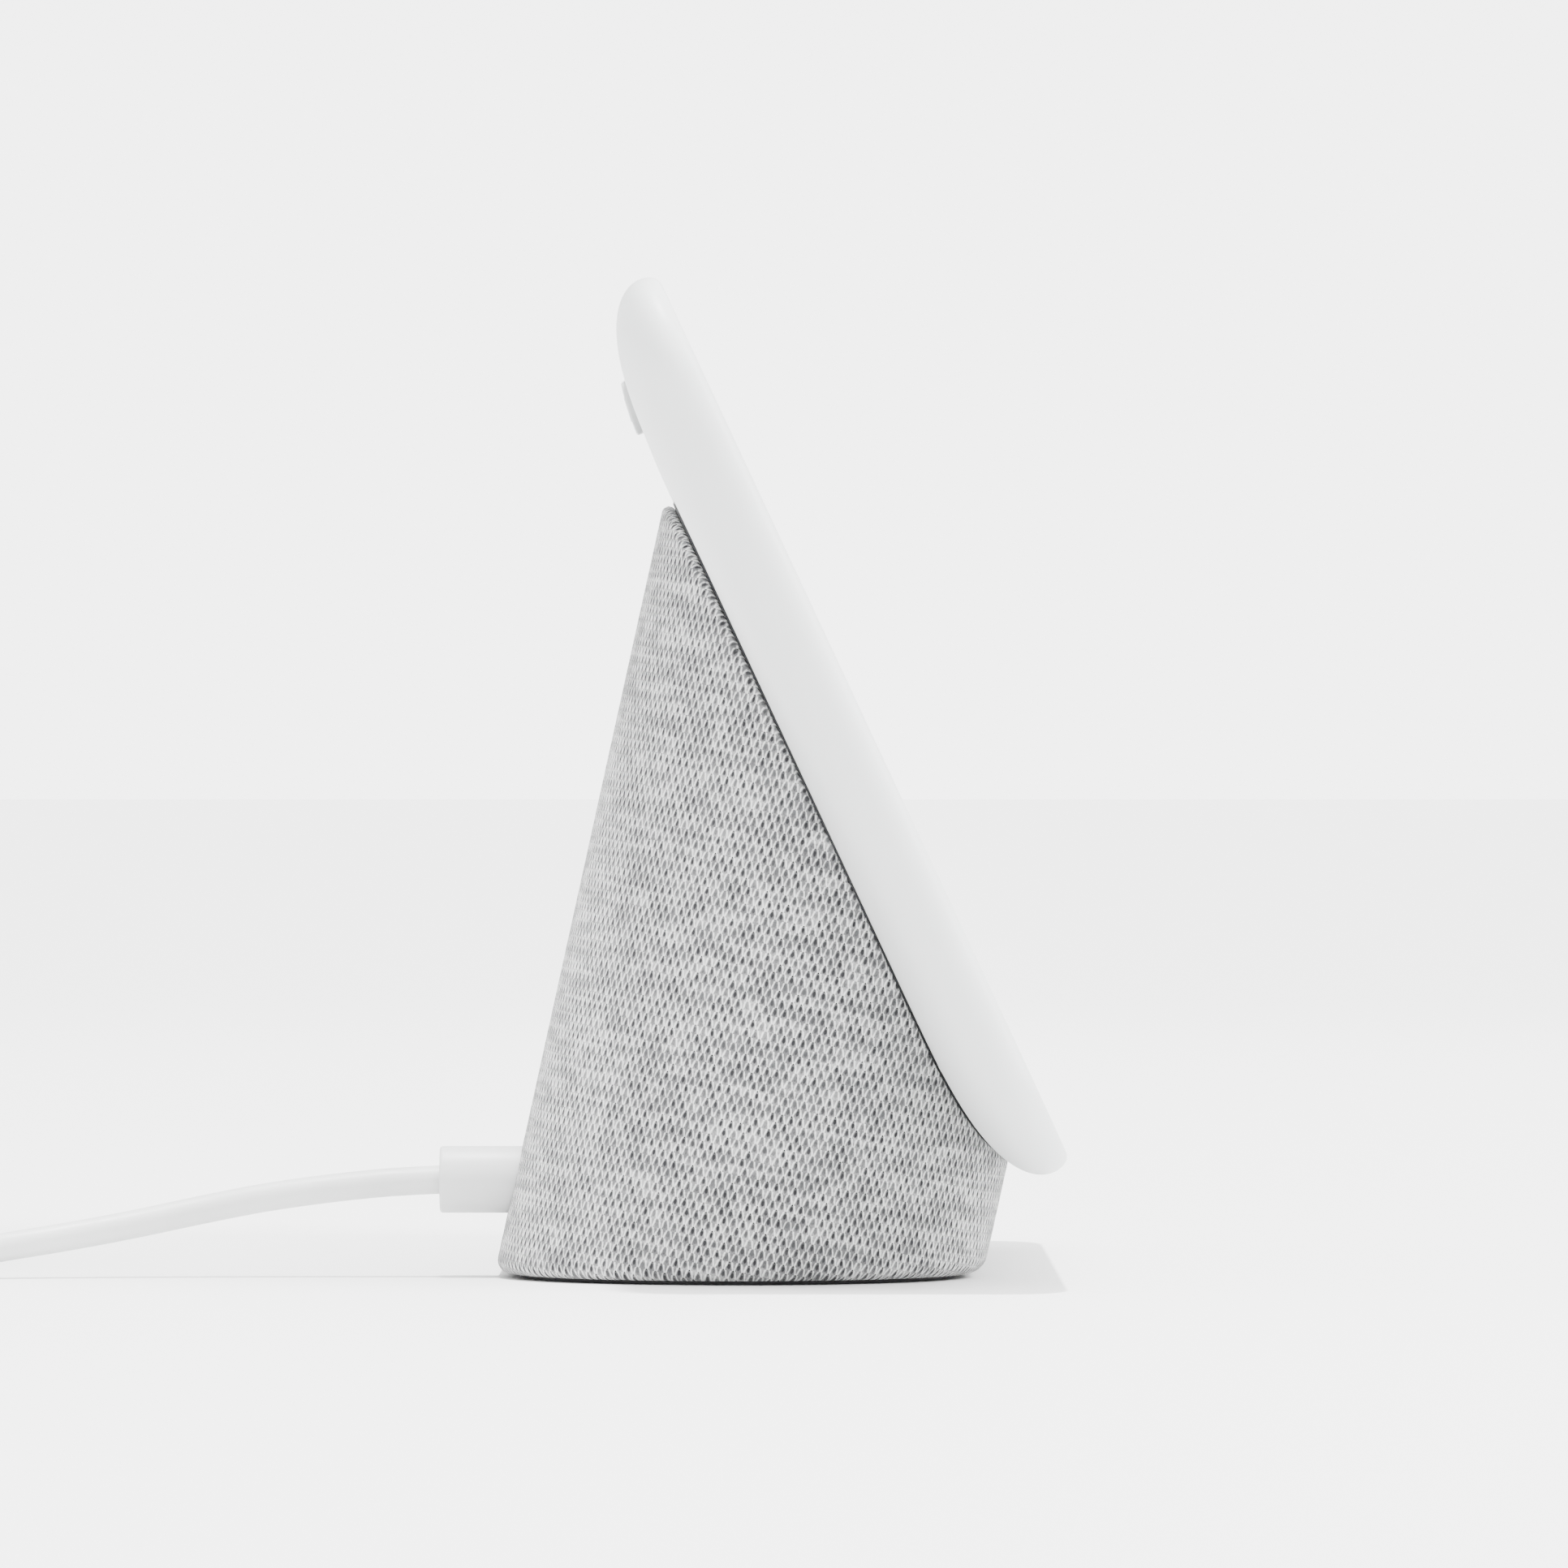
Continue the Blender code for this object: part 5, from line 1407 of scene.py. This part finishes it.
def sweep(name: str, route: Sequence[Vector], radius: float, sides: int = 20) -> bpy.types.Object:
    """Sweep a circle along a route, without twist.

    Args:
        name: The piece's name.
        route: The centre line.
        radius: The circle's radius.
        sides: The circle's steps.

    Returns:
        The piece, with a UV map of turns round it and metres along it.
    """
    bm = bmesh.new()
    uv_layer = bm.loops.layers.uv.new("length")
    rows = []
    walked = [0.0]
    side = Vector((0, 0, 1))
    for index, point in enumerate(route):
        before = route[max(index - 1, 0)]
        after = route[min(index + 1, len(route) - 1)]
        ahead = (after - before).normalized()
        side = (side - ahead * side.dot(ahead)).normalized()
        other = ahead.cross(side)
        rows.append([bm.verts.new(point + radius * (math.cos(math.tau * step / sides) * side
                                                    + math.sin(math.tau * step / sides) * other))
                     for step in range(sides)])
        if index:
            walked.append(walked[-1] + (point - route[index - 1]).length)
    for index in range(len(rows) - 1):
        for step in range(sides):
            after = (step + 1) % sides
            face = bm.faces.new((rows[index][step], rows[index][after], rows[index + 1][after],
                                 rows[index + 1][step]))
            marks = ((step, index), (step + 1, index), (step + 1, index + 1), (step, index + 1))
            for loop, (turn, at) in zip(face.loops, marks):
                loop[uv_layer].uv = (turn / sides, walked[at])
    bm.faces.new(rows[0])
    bm.faces.new(rows[-1])
    bmesh.ops.recalc_face_normals(bm, faces=bm.faces)
    return finish_mesh(bm, name, 50.0)


@dataclass
class PowerLead:
    """The round plug, the cord with its stored coil and tie, and the wall adapter."""

    inlet_x: float = -0.034
    inlet_z: float = 0.01165
    nose_y: float = 0.0267
    plug_radius: float = 0.0040
    plug_end: float = 0.0407
    plug_edge: float = 0.0004
    plug_nose: tuple[float, float] = (0.0003, 0.0006)
    collar_width: float = 0.00045
    collar_depth: float = 0.00015
    collar_gap: float = 0.0001
    barrel_radius: float = 0.00275
    barrel_bore: float = 0.00125
    barrel_length: float = 0.0078
    tip_length: float = 0.0008
    tip_edge: float = 0.0002
    cord_radius: float = 0.0017
    cord_spacing: float = 0.0028
    coil_turns: float = 11.5
    coil_radius: float = 0.019
    coil_columns: int = 3
    coil_pitch: float = 0.00345
    coil_floor: float = 0.0008
    coil_start: float = math.radians(-120)
    coil_end: float = math.radians(90)
    coil_crossing: float = math.radians(50)
    turn_steps: int = 30
    tie_width: float = 0.005
    tie_thickness: float = 0.0005
    tie_corner: float = 0.0031
    adapter_corner: float = 0.0075
    adapter_least_corner: float = 0.0012
    adapter_edge: float = 0.0022
    adapter_foot_edge: float = 0.0030
    edge_steps: int = 8
    seam_height: float = 0.0185
    seam_half: float = 0.00022
    seam_depth: float = 0.0003
    recess: tuple[float, float, float] = (0.0060, 0.0063, 0.0005)
    prong_root: float = 0.0012
    prong_corner: float = 0.00028
    prong_tip: tuple = ((0.0, 0.0016), (0.0003, 0.0008), (0.0006, 0.0003), (0.0009, 0.0))
    prong_hole_drop: float = 0.0045
    prong_hole_radius: float = 0.0015
    prong_hole_length: float = 0.01
    prong_slope: float = 0.7
    relief_overlap: float = 0.0010
    relief_shoulder: float = 0.0006
    relief_cuff: tuple[float, float] = (0.0030, 0.0035)
    relief_end: tuple[float, float] = (0.0001, 0.0002)
    rib_count: int = 7
    rib_insets: tuple[float, float] = (0.00075, 0.00005)
    rib_start: float = 0.0050
    rib_margin: float = 0.0070
    rib_section: float = 0.00045
    relief_radius: float = 0.0032
    relief_tip: float = 0.00195
    lead_route: tuple = (
        (-0.0340, 0.0400, 0.01165), (-0.0340, 0.0467, 0.01130), (-0.0341, 0.0544, 0.01050),
        (-0.0344, 0.0621, 0.00940), (-0.0350, 0.0698, 0.00790), (-0.0361, 0.0775, 0.00630),
        (-0.0377, 0.0852, 0.00490), (-0.0398, 0.0928, 0.00370), (-0.0423, 0.0979, 0.00290),
        (-0.0475, 0.1033, 0.00255))
    tail_route: tuple = (
        (-0.0330, 0.1517, 0.01160), (-0.0240, 0.1538, 0.00860), (-0.0160, 0.1585, 0.00520),
        (-0.0095, 0.1652, 0.00300), (-0.0037, 0.1725, 0.00240), (0.0022, 0.1785, 0.00400),
        (0.0085, 0.1805, 0.00730), (0.0131, 0.1777, 0.01100), (0.0149, 0.1732, 0.01330),
        (0.0150, 0.1690, 0.01400))
    body: str = "power_plug"

    def build(self) -> None:
        """Build the lead from the plug to the adapter."""
        self.build_cord([self.build_plug(), *self.build_barrel(), self.build_tie(), *self.build_adapter()])

    def inlet_axis(self) -> Matrix:
        """Return the matrix that takes Z to the plug's axis, from its nose towards the cord."""
        return Matrix.Translation((self.inlet_x, self.nose_y, self.inlet_z)) @ Matrix.Rotation(
            math.radians(-90), 4, "X")

    def build_plug(self) -> bpy.types.Object:
        """Build the plug's overmould, with its soft end edge and the collar where the cord leaves."""
        length = self.plug_end - self.nose_y
        sunk = length - self.collar_depth
        profile = [(0, sunk), (self.cord_radius + self.collar_gap, sunk),
                   (self.cord_radius + self.collar_width, length)]
        profile.extend(rounded_step(self.plug_radius, length, self.plug_edge, 6))
        nose_inset, nose_height = self.plug_nose
        profile.extend([(self.plug_radius, nose_height), (self.plug_radius - nose_inset, 0.0), (0, 0.0)])
        plug = dress(turned("plug_overmould_body", profile, self.inlet_axis(), 72), Finish.PLUG)
        return hand_in(plug, self.body, "cord_white", "plug_overmould")

    def build_barrel(self) -> list[bpy.types.Object]:
        """Return the plug's metal barrel and the insulator at its tip."""
        low = -self.barrel_length
        tip = low + self.tip_length
        edge = self.tip_edge
        profile = [(self.barrel_radius, -GAP), (self.barrel_radius, tip), (self.barrel_bore, tip),
                   (self.barrel_bore, -GAP)]
        barrel = dress(turned("plug_barrel_sleeve", profile, self.inlet_axis(), 48, True), Finish.NICKEL)
        hand_in(barrel, self.body, "nickel", "plug_barrel")
        ring = [(self.barrel_radius, tip), (self.barrel_radius, low + edge),
                (self.barrel_radius - edge, low), (self.barrel_bore, low), (self.barrel_bore, tip)]
        insulator = dress(turned("plug_barrel_insulator", ring, self.inlet_axis(), 48, True),
                          Finish.INSULATOR)
        return [barrel, hand_in(insulator, self.body, "nickel")]

    @staticmethod
    def coil_centre() -> Vector:
        """Return the middle of the coil, on the table."""
        low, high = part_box("cord_coil")
        return Vector(((low.x + high.x) / 2, (low.y + high.y) / 2, 0.0))

    def coil_route(self) -> list[Vector]:
        """Return the coil's centre line: turns side by side, then layer on layer, in and out."""
        centre = self.coil_centre()
        outermost = (self.coil_columns - 1) / 2
        turning = self.coil_crossing

        def slot(turn: int) -> tuple[float, float]:
            layer, place = divmod(turn, self.coil_columns)
            column = place if layer % 2 == 0 else self.coil_columns - 1 - place
            return (self.coil_radius + (outermost - column) * self.coil_pitch,
                    self.coil_floor + self.cord_radius + layer * self.coil_pitch)

        part_turn = (self.coil_start - self.coil_end) % math.tau
        sweep_angle = part_turn + math.tau * math.floor(self.coil_turns)
        steps = self.turn_steps * math.ceil(sweep_angle / math.tau)
        route = []
        for step in range(steps + 1):
            angle = sweep_angle * step / steps
            turn = int(angle // math.tau)
            within = angle - turn * math.tau
            radius, height = slot(turn)
            share = max(0.0, (within - (math.tau - turning)) / turning)
            if share:
                ease = share * share * (3 - 2 * share)
                next_radius, next_height = slot(turn + 1)
                radius += (next_radius - radius) * ease
                height += (next_height - height) * ease
            heading = self.coil_start - angle
            route.append(centre + Vector((radius * math.cos(heading), radius * math.sin(heading), height)))
        return route

    def build_cord(self, ends: Sequence[bpy.types.Object]) -> None:
        """Build the cord on one route: out of the plug, through the coil and on to the adapter.

        Args:
            ends: The pieces on the cord, which go with it. Not used.
        """
        coil = self.coil_route()
        lead = [Vector(point) for point in self.lead_route]
        tail = [Vector(point) for point in self.tail_route]
        join_in = smooth_route([*lead, coil[0], coil[1]], self.cord_spacing)[:-1]
        while (join_in[-1] - coil[0]).length > TOUCHING:
            join_in.pop()
        join_out = smooth_route([coil[-2], coil[-1], *tail], self.cord_spacing)
        first = next(index for index, point in enumerate(join_out)
                     if (point - coil[-1]).length < TOUCHING)
        route = join_in[:-1] + coil + join_out[first + 1:]
        cord = dress(sweep("power_cord_tube", route, self.cord_radius), Finish.CORD)
        hand_in(cord, self.body, "cord_white", "power_cord", "cord_coil", "cord_tail")
        length = sum((second - first).length for first, second in zip(route, route[1:]))
        LOG.info("cord length %.3f m", length)

    def build_tie(self) -> bpy.types.Object:
        """Return the strap that holds the coil's turns together."""
        low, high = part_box("coil_tie")
        centre = (low + high) / 2
        half_width, half_height = (high.x - low.x) / 2, (high.z - low.z) / 2
        rings = []
        for inset, side in ((0.0, -1), (0.0, 1), (self.tie_thickness, 1), (self.tie_thickness, -1)):
            outline = rounded_rectangle(half_width - inset, half_height - inset, self.tie_corner - inset, 10)
            rings.append([centre + Vector((point.x, side * self.tie_width / 2, point.y))
                          for point in outline])
        tie = dress(loft("coil_tie_strap", rings, True), Finish.TIE)
        return hand_in(tie, self.body, "dark_rubber", "coil_tie")

    def build_adapter(self) -> list[bpy.types.Object]:
        """Build the wall adapter: its body, prongs and strain relief.

        Returns:
            The adapter's pieces.
        """
        low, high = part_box("adapter_body")
        centre = (low + high) / 2
        half_x, half_y = (high.x - low.x) / 2, (high.y - low.y) / 2

        def outline_at(inset: float, height: float) -> Outline:
            radius = max(self.adapter_corner - inset, self.adapter_least_corner)
            points = rounded_rectangle(half_x - inset, half_y - inset, radius, 12)
            return [Vector((centre.x + point.x, centre.y + point.y, height)) for point in points]

        top = high.z
        rings = capped(outline_at, 0.0, top, self.adapter_edge, self.edge_steps, self.adapter_foot_edge)
        upright = self.edge_steps + 1
        seam = ((0.0, -1.0), (self.seam_depth, -0.7), (self.seam_depth, 0.7), (0.0, 1.0))
        rings[upright:upright] = [outline_at(inset, self.seam_height + share * self.seam_half)
                                  for inset, share in seam]
        first_inset, second_inset, recess_depth = self.recess
        rings.extend([outline_at(first_inset, top), outline_at(second_inset, top - recess_depth)])
        body = dress(loft("adapter_case", rings), Finish.ADAPTER)
        hand_in(body, self.body, "white_plastic", "adapter_body")
        prongs = [self.build_prong(name) for name in ("adapter_prong_left", "adapter_prong_right")]
        return [body, *prongs, *self.build_relief()]

    def build_prong(self, name: str) -> bpy.types.Object:
        """Return one flat prong, with a chamfered tip and the hole near it."""
        low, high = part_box(name)
        centre = (low + high) / 2
        half_thick, half_wide = (high.x - low.x) / 2, (high.y - low.y) / 2

        def outline_at(inset: float, height: float) -> Outline:
            points = rounded_rectangle(half_thick - inset * self.prong_slope, half_wide - inset,
                                       self.prong_corner, 4)
            return [Vector((centre.x + point.x, centre.y + point.y, height)) for point in points]

        rings = [outline_at(0.0, low.z - self.prong_root)]
        rings.extend(outline_at(inset, high.z - drop) for inset, drop in self.prong_tip)
        prong = loft(name + "_blade", rings)
        hole = Matrix.Translation((centre.x, centre.y, high.z - self.prong_hole_drop)) @ Matrix.Rotation(
            math.radians(90), 4, "Y")
        carve(prong, cylinder("prong_hole", hole, self.prong_hole_radius, self.prong_hole_length))
        dress(prong, Finish.NICKEL)
        return hand_in(prong, self.body, "nickel", name)

    def build_relief(self) -> list[bpy.types.Object]:
        """Return the adapter's strain relief: a tapered core and its ribs."""
        low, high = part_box("adapter_relief")
        foot = low.y - self.relief_overlap
        place = Matrix.Translation(((low.x + high.x) / 2, foot, (low.z + high.z) / 2))
        axis = place @ Matrix.Rotation(math.radians(-90), 4, "X")
        length = high.y - low.y + self.relief_overlap
        end_inset, end_drop = self.relief_end
        cuff, shoulder = self.relief_cuff
        core = [(0, length), (self.relief_tip - end_inset, length), (self.relief_tip, length - end_drop),
                (self.relief_radius - self.relief_shoulder, shoulder), (self.relief_radius, cuff),
                (self.relief_radius, 0.0), (0, 0)]
        relief = dress(turned("adapter_relief_core", core, axis, 40), Finish.PLUG)
        hand_in(relief, self.body, "cord_white", "adapter_relief")
        ribs = ring_row("adapter_relief_ribs", Finish.PLUG,
                        axis @ Matrix.Translation((0, 0, self.rib_start)), self.rib_count,
                        self.relief_radius - self.rib_insets[0], self.relief_tip - self.rib_insets[1],
                        length - self.rib_margin, self.rib_section)
        hand_in(ribs, self.body, "cord_white")
        return [relief, ribs]


# ---- Pieces that keep their CAD shape -------------------------------------------------------------


@dataclass
class InnerWorks:
    """The pieces inside the object, which keep their CAD meshes and get their finishes."""

    finishes: dict = field(default_factory=lambda: {
        "display_panel": Finish.PANEL, "mid_frame": Finish.STEEL, "main_board": Finish.BOARD,
        "processor_shield": Finish.TINNED, "radio_shield": Finish.TINNED,
        "microphone_board_left": Finish.BOARD, "microphone_board_right": Finish.BOARD,
        "light_sensor_board": Finish.BOARD, "button_board": Finish.BOARD, "power_board": Finish.BOARD,
        "mute_switch_body": Finish.SWITCH, "display_flex": Finish.RIBBON, "neck_bracket": Finish.STEEL,
        "base_shell": Finish.SHELL_AND_GAP_SHADOW, "base_plate": Finish.SHELL_AND_GAP_SHADOW, "ballast_plate": Finish.STEEL,
        "speaker_gasket": Finish.FOAM, "speaker_frame": Finish.STEEL, "speaker_top_plate": Finish.STEEL,
        "speaker_magnet": Finish.FERRITE, "speaker_yoke": Finish.STEEL, "speaker_cone": Finish.PULP,
        "speaker_dust_cap": Finish.PULP, "voice_coil": Finish.WINDING, "speaker_surround": Finish.SURROUND,
        "speaker_spider": Finish.CLOTH, "dc_jack": Finish.SWITCH, "jack_pin": Finish.NICKEL,
        "power_harness": Finish.WIRE, "speaker_lead": Finish.WIRE})
    screw_groups: tuple[str, ...] = ("neck_screw", "base_screw", "speaker_screw")
    screws_in_group: int = 4

    def build(self) -> None:
        """Dress every CAD node that still shows."""
        for node, finish in self.finishes.items():
            self.coat(node, finish)
        for group in self.screw_groups:
            for number in range(1, self.screws_in_group + 1):
                self.coat("%s_%d" % (group, number), Finish.SCREW)

    @staticmethod
    def coat(node: str, finish: Finish) -> None:
        """Give one CAD node its finish."""
        dress(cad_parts[node], finish)
        LOG.info("%s keeps its CAD mesh, in %s", node, finish.value.name)


# ---- Studio ---------------------------------------------------------------------------------------


@dataclass(frozen=True)
class SoftBox:
    """A square light that hangs in the studio and points at the object."""

    name: str
    place: tuple[float, float, float]
    size: float
    power: float
    aim_height: float = 0.05

    def hang(self) -> None:
        """Hang the light."""
        data = bpy.data.lights.new(self.name, "AREA")
        data.size = self.size
        data.energy = self.power
        light = bpy.data.objects.new(self.name, data)
        light.location = self.place
        aim = Vector((0, 0, self.aim_height)) - Vector(self.place)
        light.rotation_euler = aim.to_track_quat("-Z", "Y").to_euler()
        bpy.context.scene.collection.objects.link(light)


@dataclass
class Studio:
    """The camera, the pale floor and the soft lights."""

    camera_place: tuple[float, float, float] = (-1.613, -0.0005, 0.0590)
    lens: float = 302.7
    sensor: float = 36.0
    far_clip: float = 50.0
    floor_half: float = 60.0
    floor_shade: float = 0.74
    horizon: float = 5.2
    horizon_fade: tuple[float, float] = (0.05, 0.20)
    middle_sky: float = 1.5
    zenith: float = 4.2
    zenith_fade: tuple[float, float] = (0.40, 0.80)
    overhead: float = 9.0
    overhead_angle: float = math.radians(2.5)
    soft_boxes: tuple[SoftBox, ...] = (
        SoftBox("front_soft_box", (-0.6, -1.2, 1.0), 0.8, 52.0),
        SoftBox("camera_side_soft_box", (-1.4, -0.3, 0.9), 0.9, 8.0),
        SoftBox("far_side_soft_box", (1.2, -0.5, 0.9), 0.8, 8.0))

    def build(self) -> None:
        """Build the whole studio."""
        self.build_camera()
        self.build_floor()
        self.build_sky()
        self.build_overhead()
        for soft_box in self.soft_boxes:
            soft_box.hang()

    def build_camera(self) -> None:
        """Set the level camera at the object's left side."""
        data = bpy.data.cameras.new("side_camera")
        data.sensor_width = self.sensor
        data.lens = self.lens
        data.clip_end = self.far_clip
        camera = bpy.data.objects.new("side_camera", data)
        camera.location = self.camera_place
        camera.rotation_euler = (math.radians(90), 0, math.radians(-90))
        bpy.context.scene.collection.objects.link(camera)
        bpy.context.scene.camera = camera

    def build_floor(self) -> None:
        """Lay the pale floor."""
        bm = bmesh.new()
        bmesh.ops.create_grid(bm, x_segments=1, y_segments=1, size=self.floor_half)
        floor = finish_mesh(bm, "studio_floor")
        graph = Graph("studio_floor")
        graph.set(Base_Color=tint(self.floor_shade, self.floor_shade, self.floor_shade), Roughness=0.9,
                  Specular_IOR_Level=0.1)
        floor.data.materials.append(graph.material)

    def build_sky(self) -> None:
        """Make the surroundings white at the horizon and dimmer overhead."""
        world = bpy.data.worlds.new("studio_sky")
        world.use_nodes = True
        nodes, links = world.node_tree.nodes, world.node_tree.links
        axes = nodes.new("ShaderNodeSeparateXYZ")
        links.new(nodes.new("ShaderNodeTexCoord").outputs["Generated"], axes.inputs[0])
        rise = nodes.new("ShaderNodeMath")
        rise.operation = "ABSOLUTE"
        links.new(axes.outputs["Z"], rise.inputs[0])
        total = nodes.new("ShaderNodeMath")
        fades = ((*self.horizon_fade, self.horizon, self.middle_sky),
                 (*self.zenith_fade, 0.0, self.zenith - self.middle_sky))
        for index, (low, high, start, end) in enumerate(fades):
            fade = nodes.new("ShaderNodeMapRange")
            fade.interpolation_type = "SMOOTHSTEP"
            for key, value in (("From Min", low), ("From Max", high), ("To Min", start), ("To Max", end)):
                fade.inputs[key].default_value = value
            links.new(rise.outputs[0], fade.inputs["Value"])
            links.new(fade.outputs["Result"], total.inputs[index])
        background = nodes["Background"]
        background.inputs["Color"].default_value = tint(1.0, 1.0, 1.0)
        links.new(total.outputs[0], background.inputs["Strength"])
        bpy.context.scene.world = world

    def build_overhead(self) -> None:
        """Hang the main light straight above, far off."""
        data = bpy.data.lights.new("overhead_light", "SUN")
        data.energy = self.overhead
        data.angle = self.overhead_angle
        light = bpy.data.objects.new("overhead_light", data)
        light.location = (0, 0, 3)
        bpy.context.scene.collection.objects.link(light)


def main() -> None:
    """Build the studio, then each sub-assembly."""
    logging.basicConfig(level=logging.INFO, format="%(name)s: %(message)s")
    Studio().build()
    PowerLead().build()
    head = DisplayHead()
    head.build()
    SpeakerBase(head).build()
    InnerWorks().build()


if __name__ == "__main__":
    main()
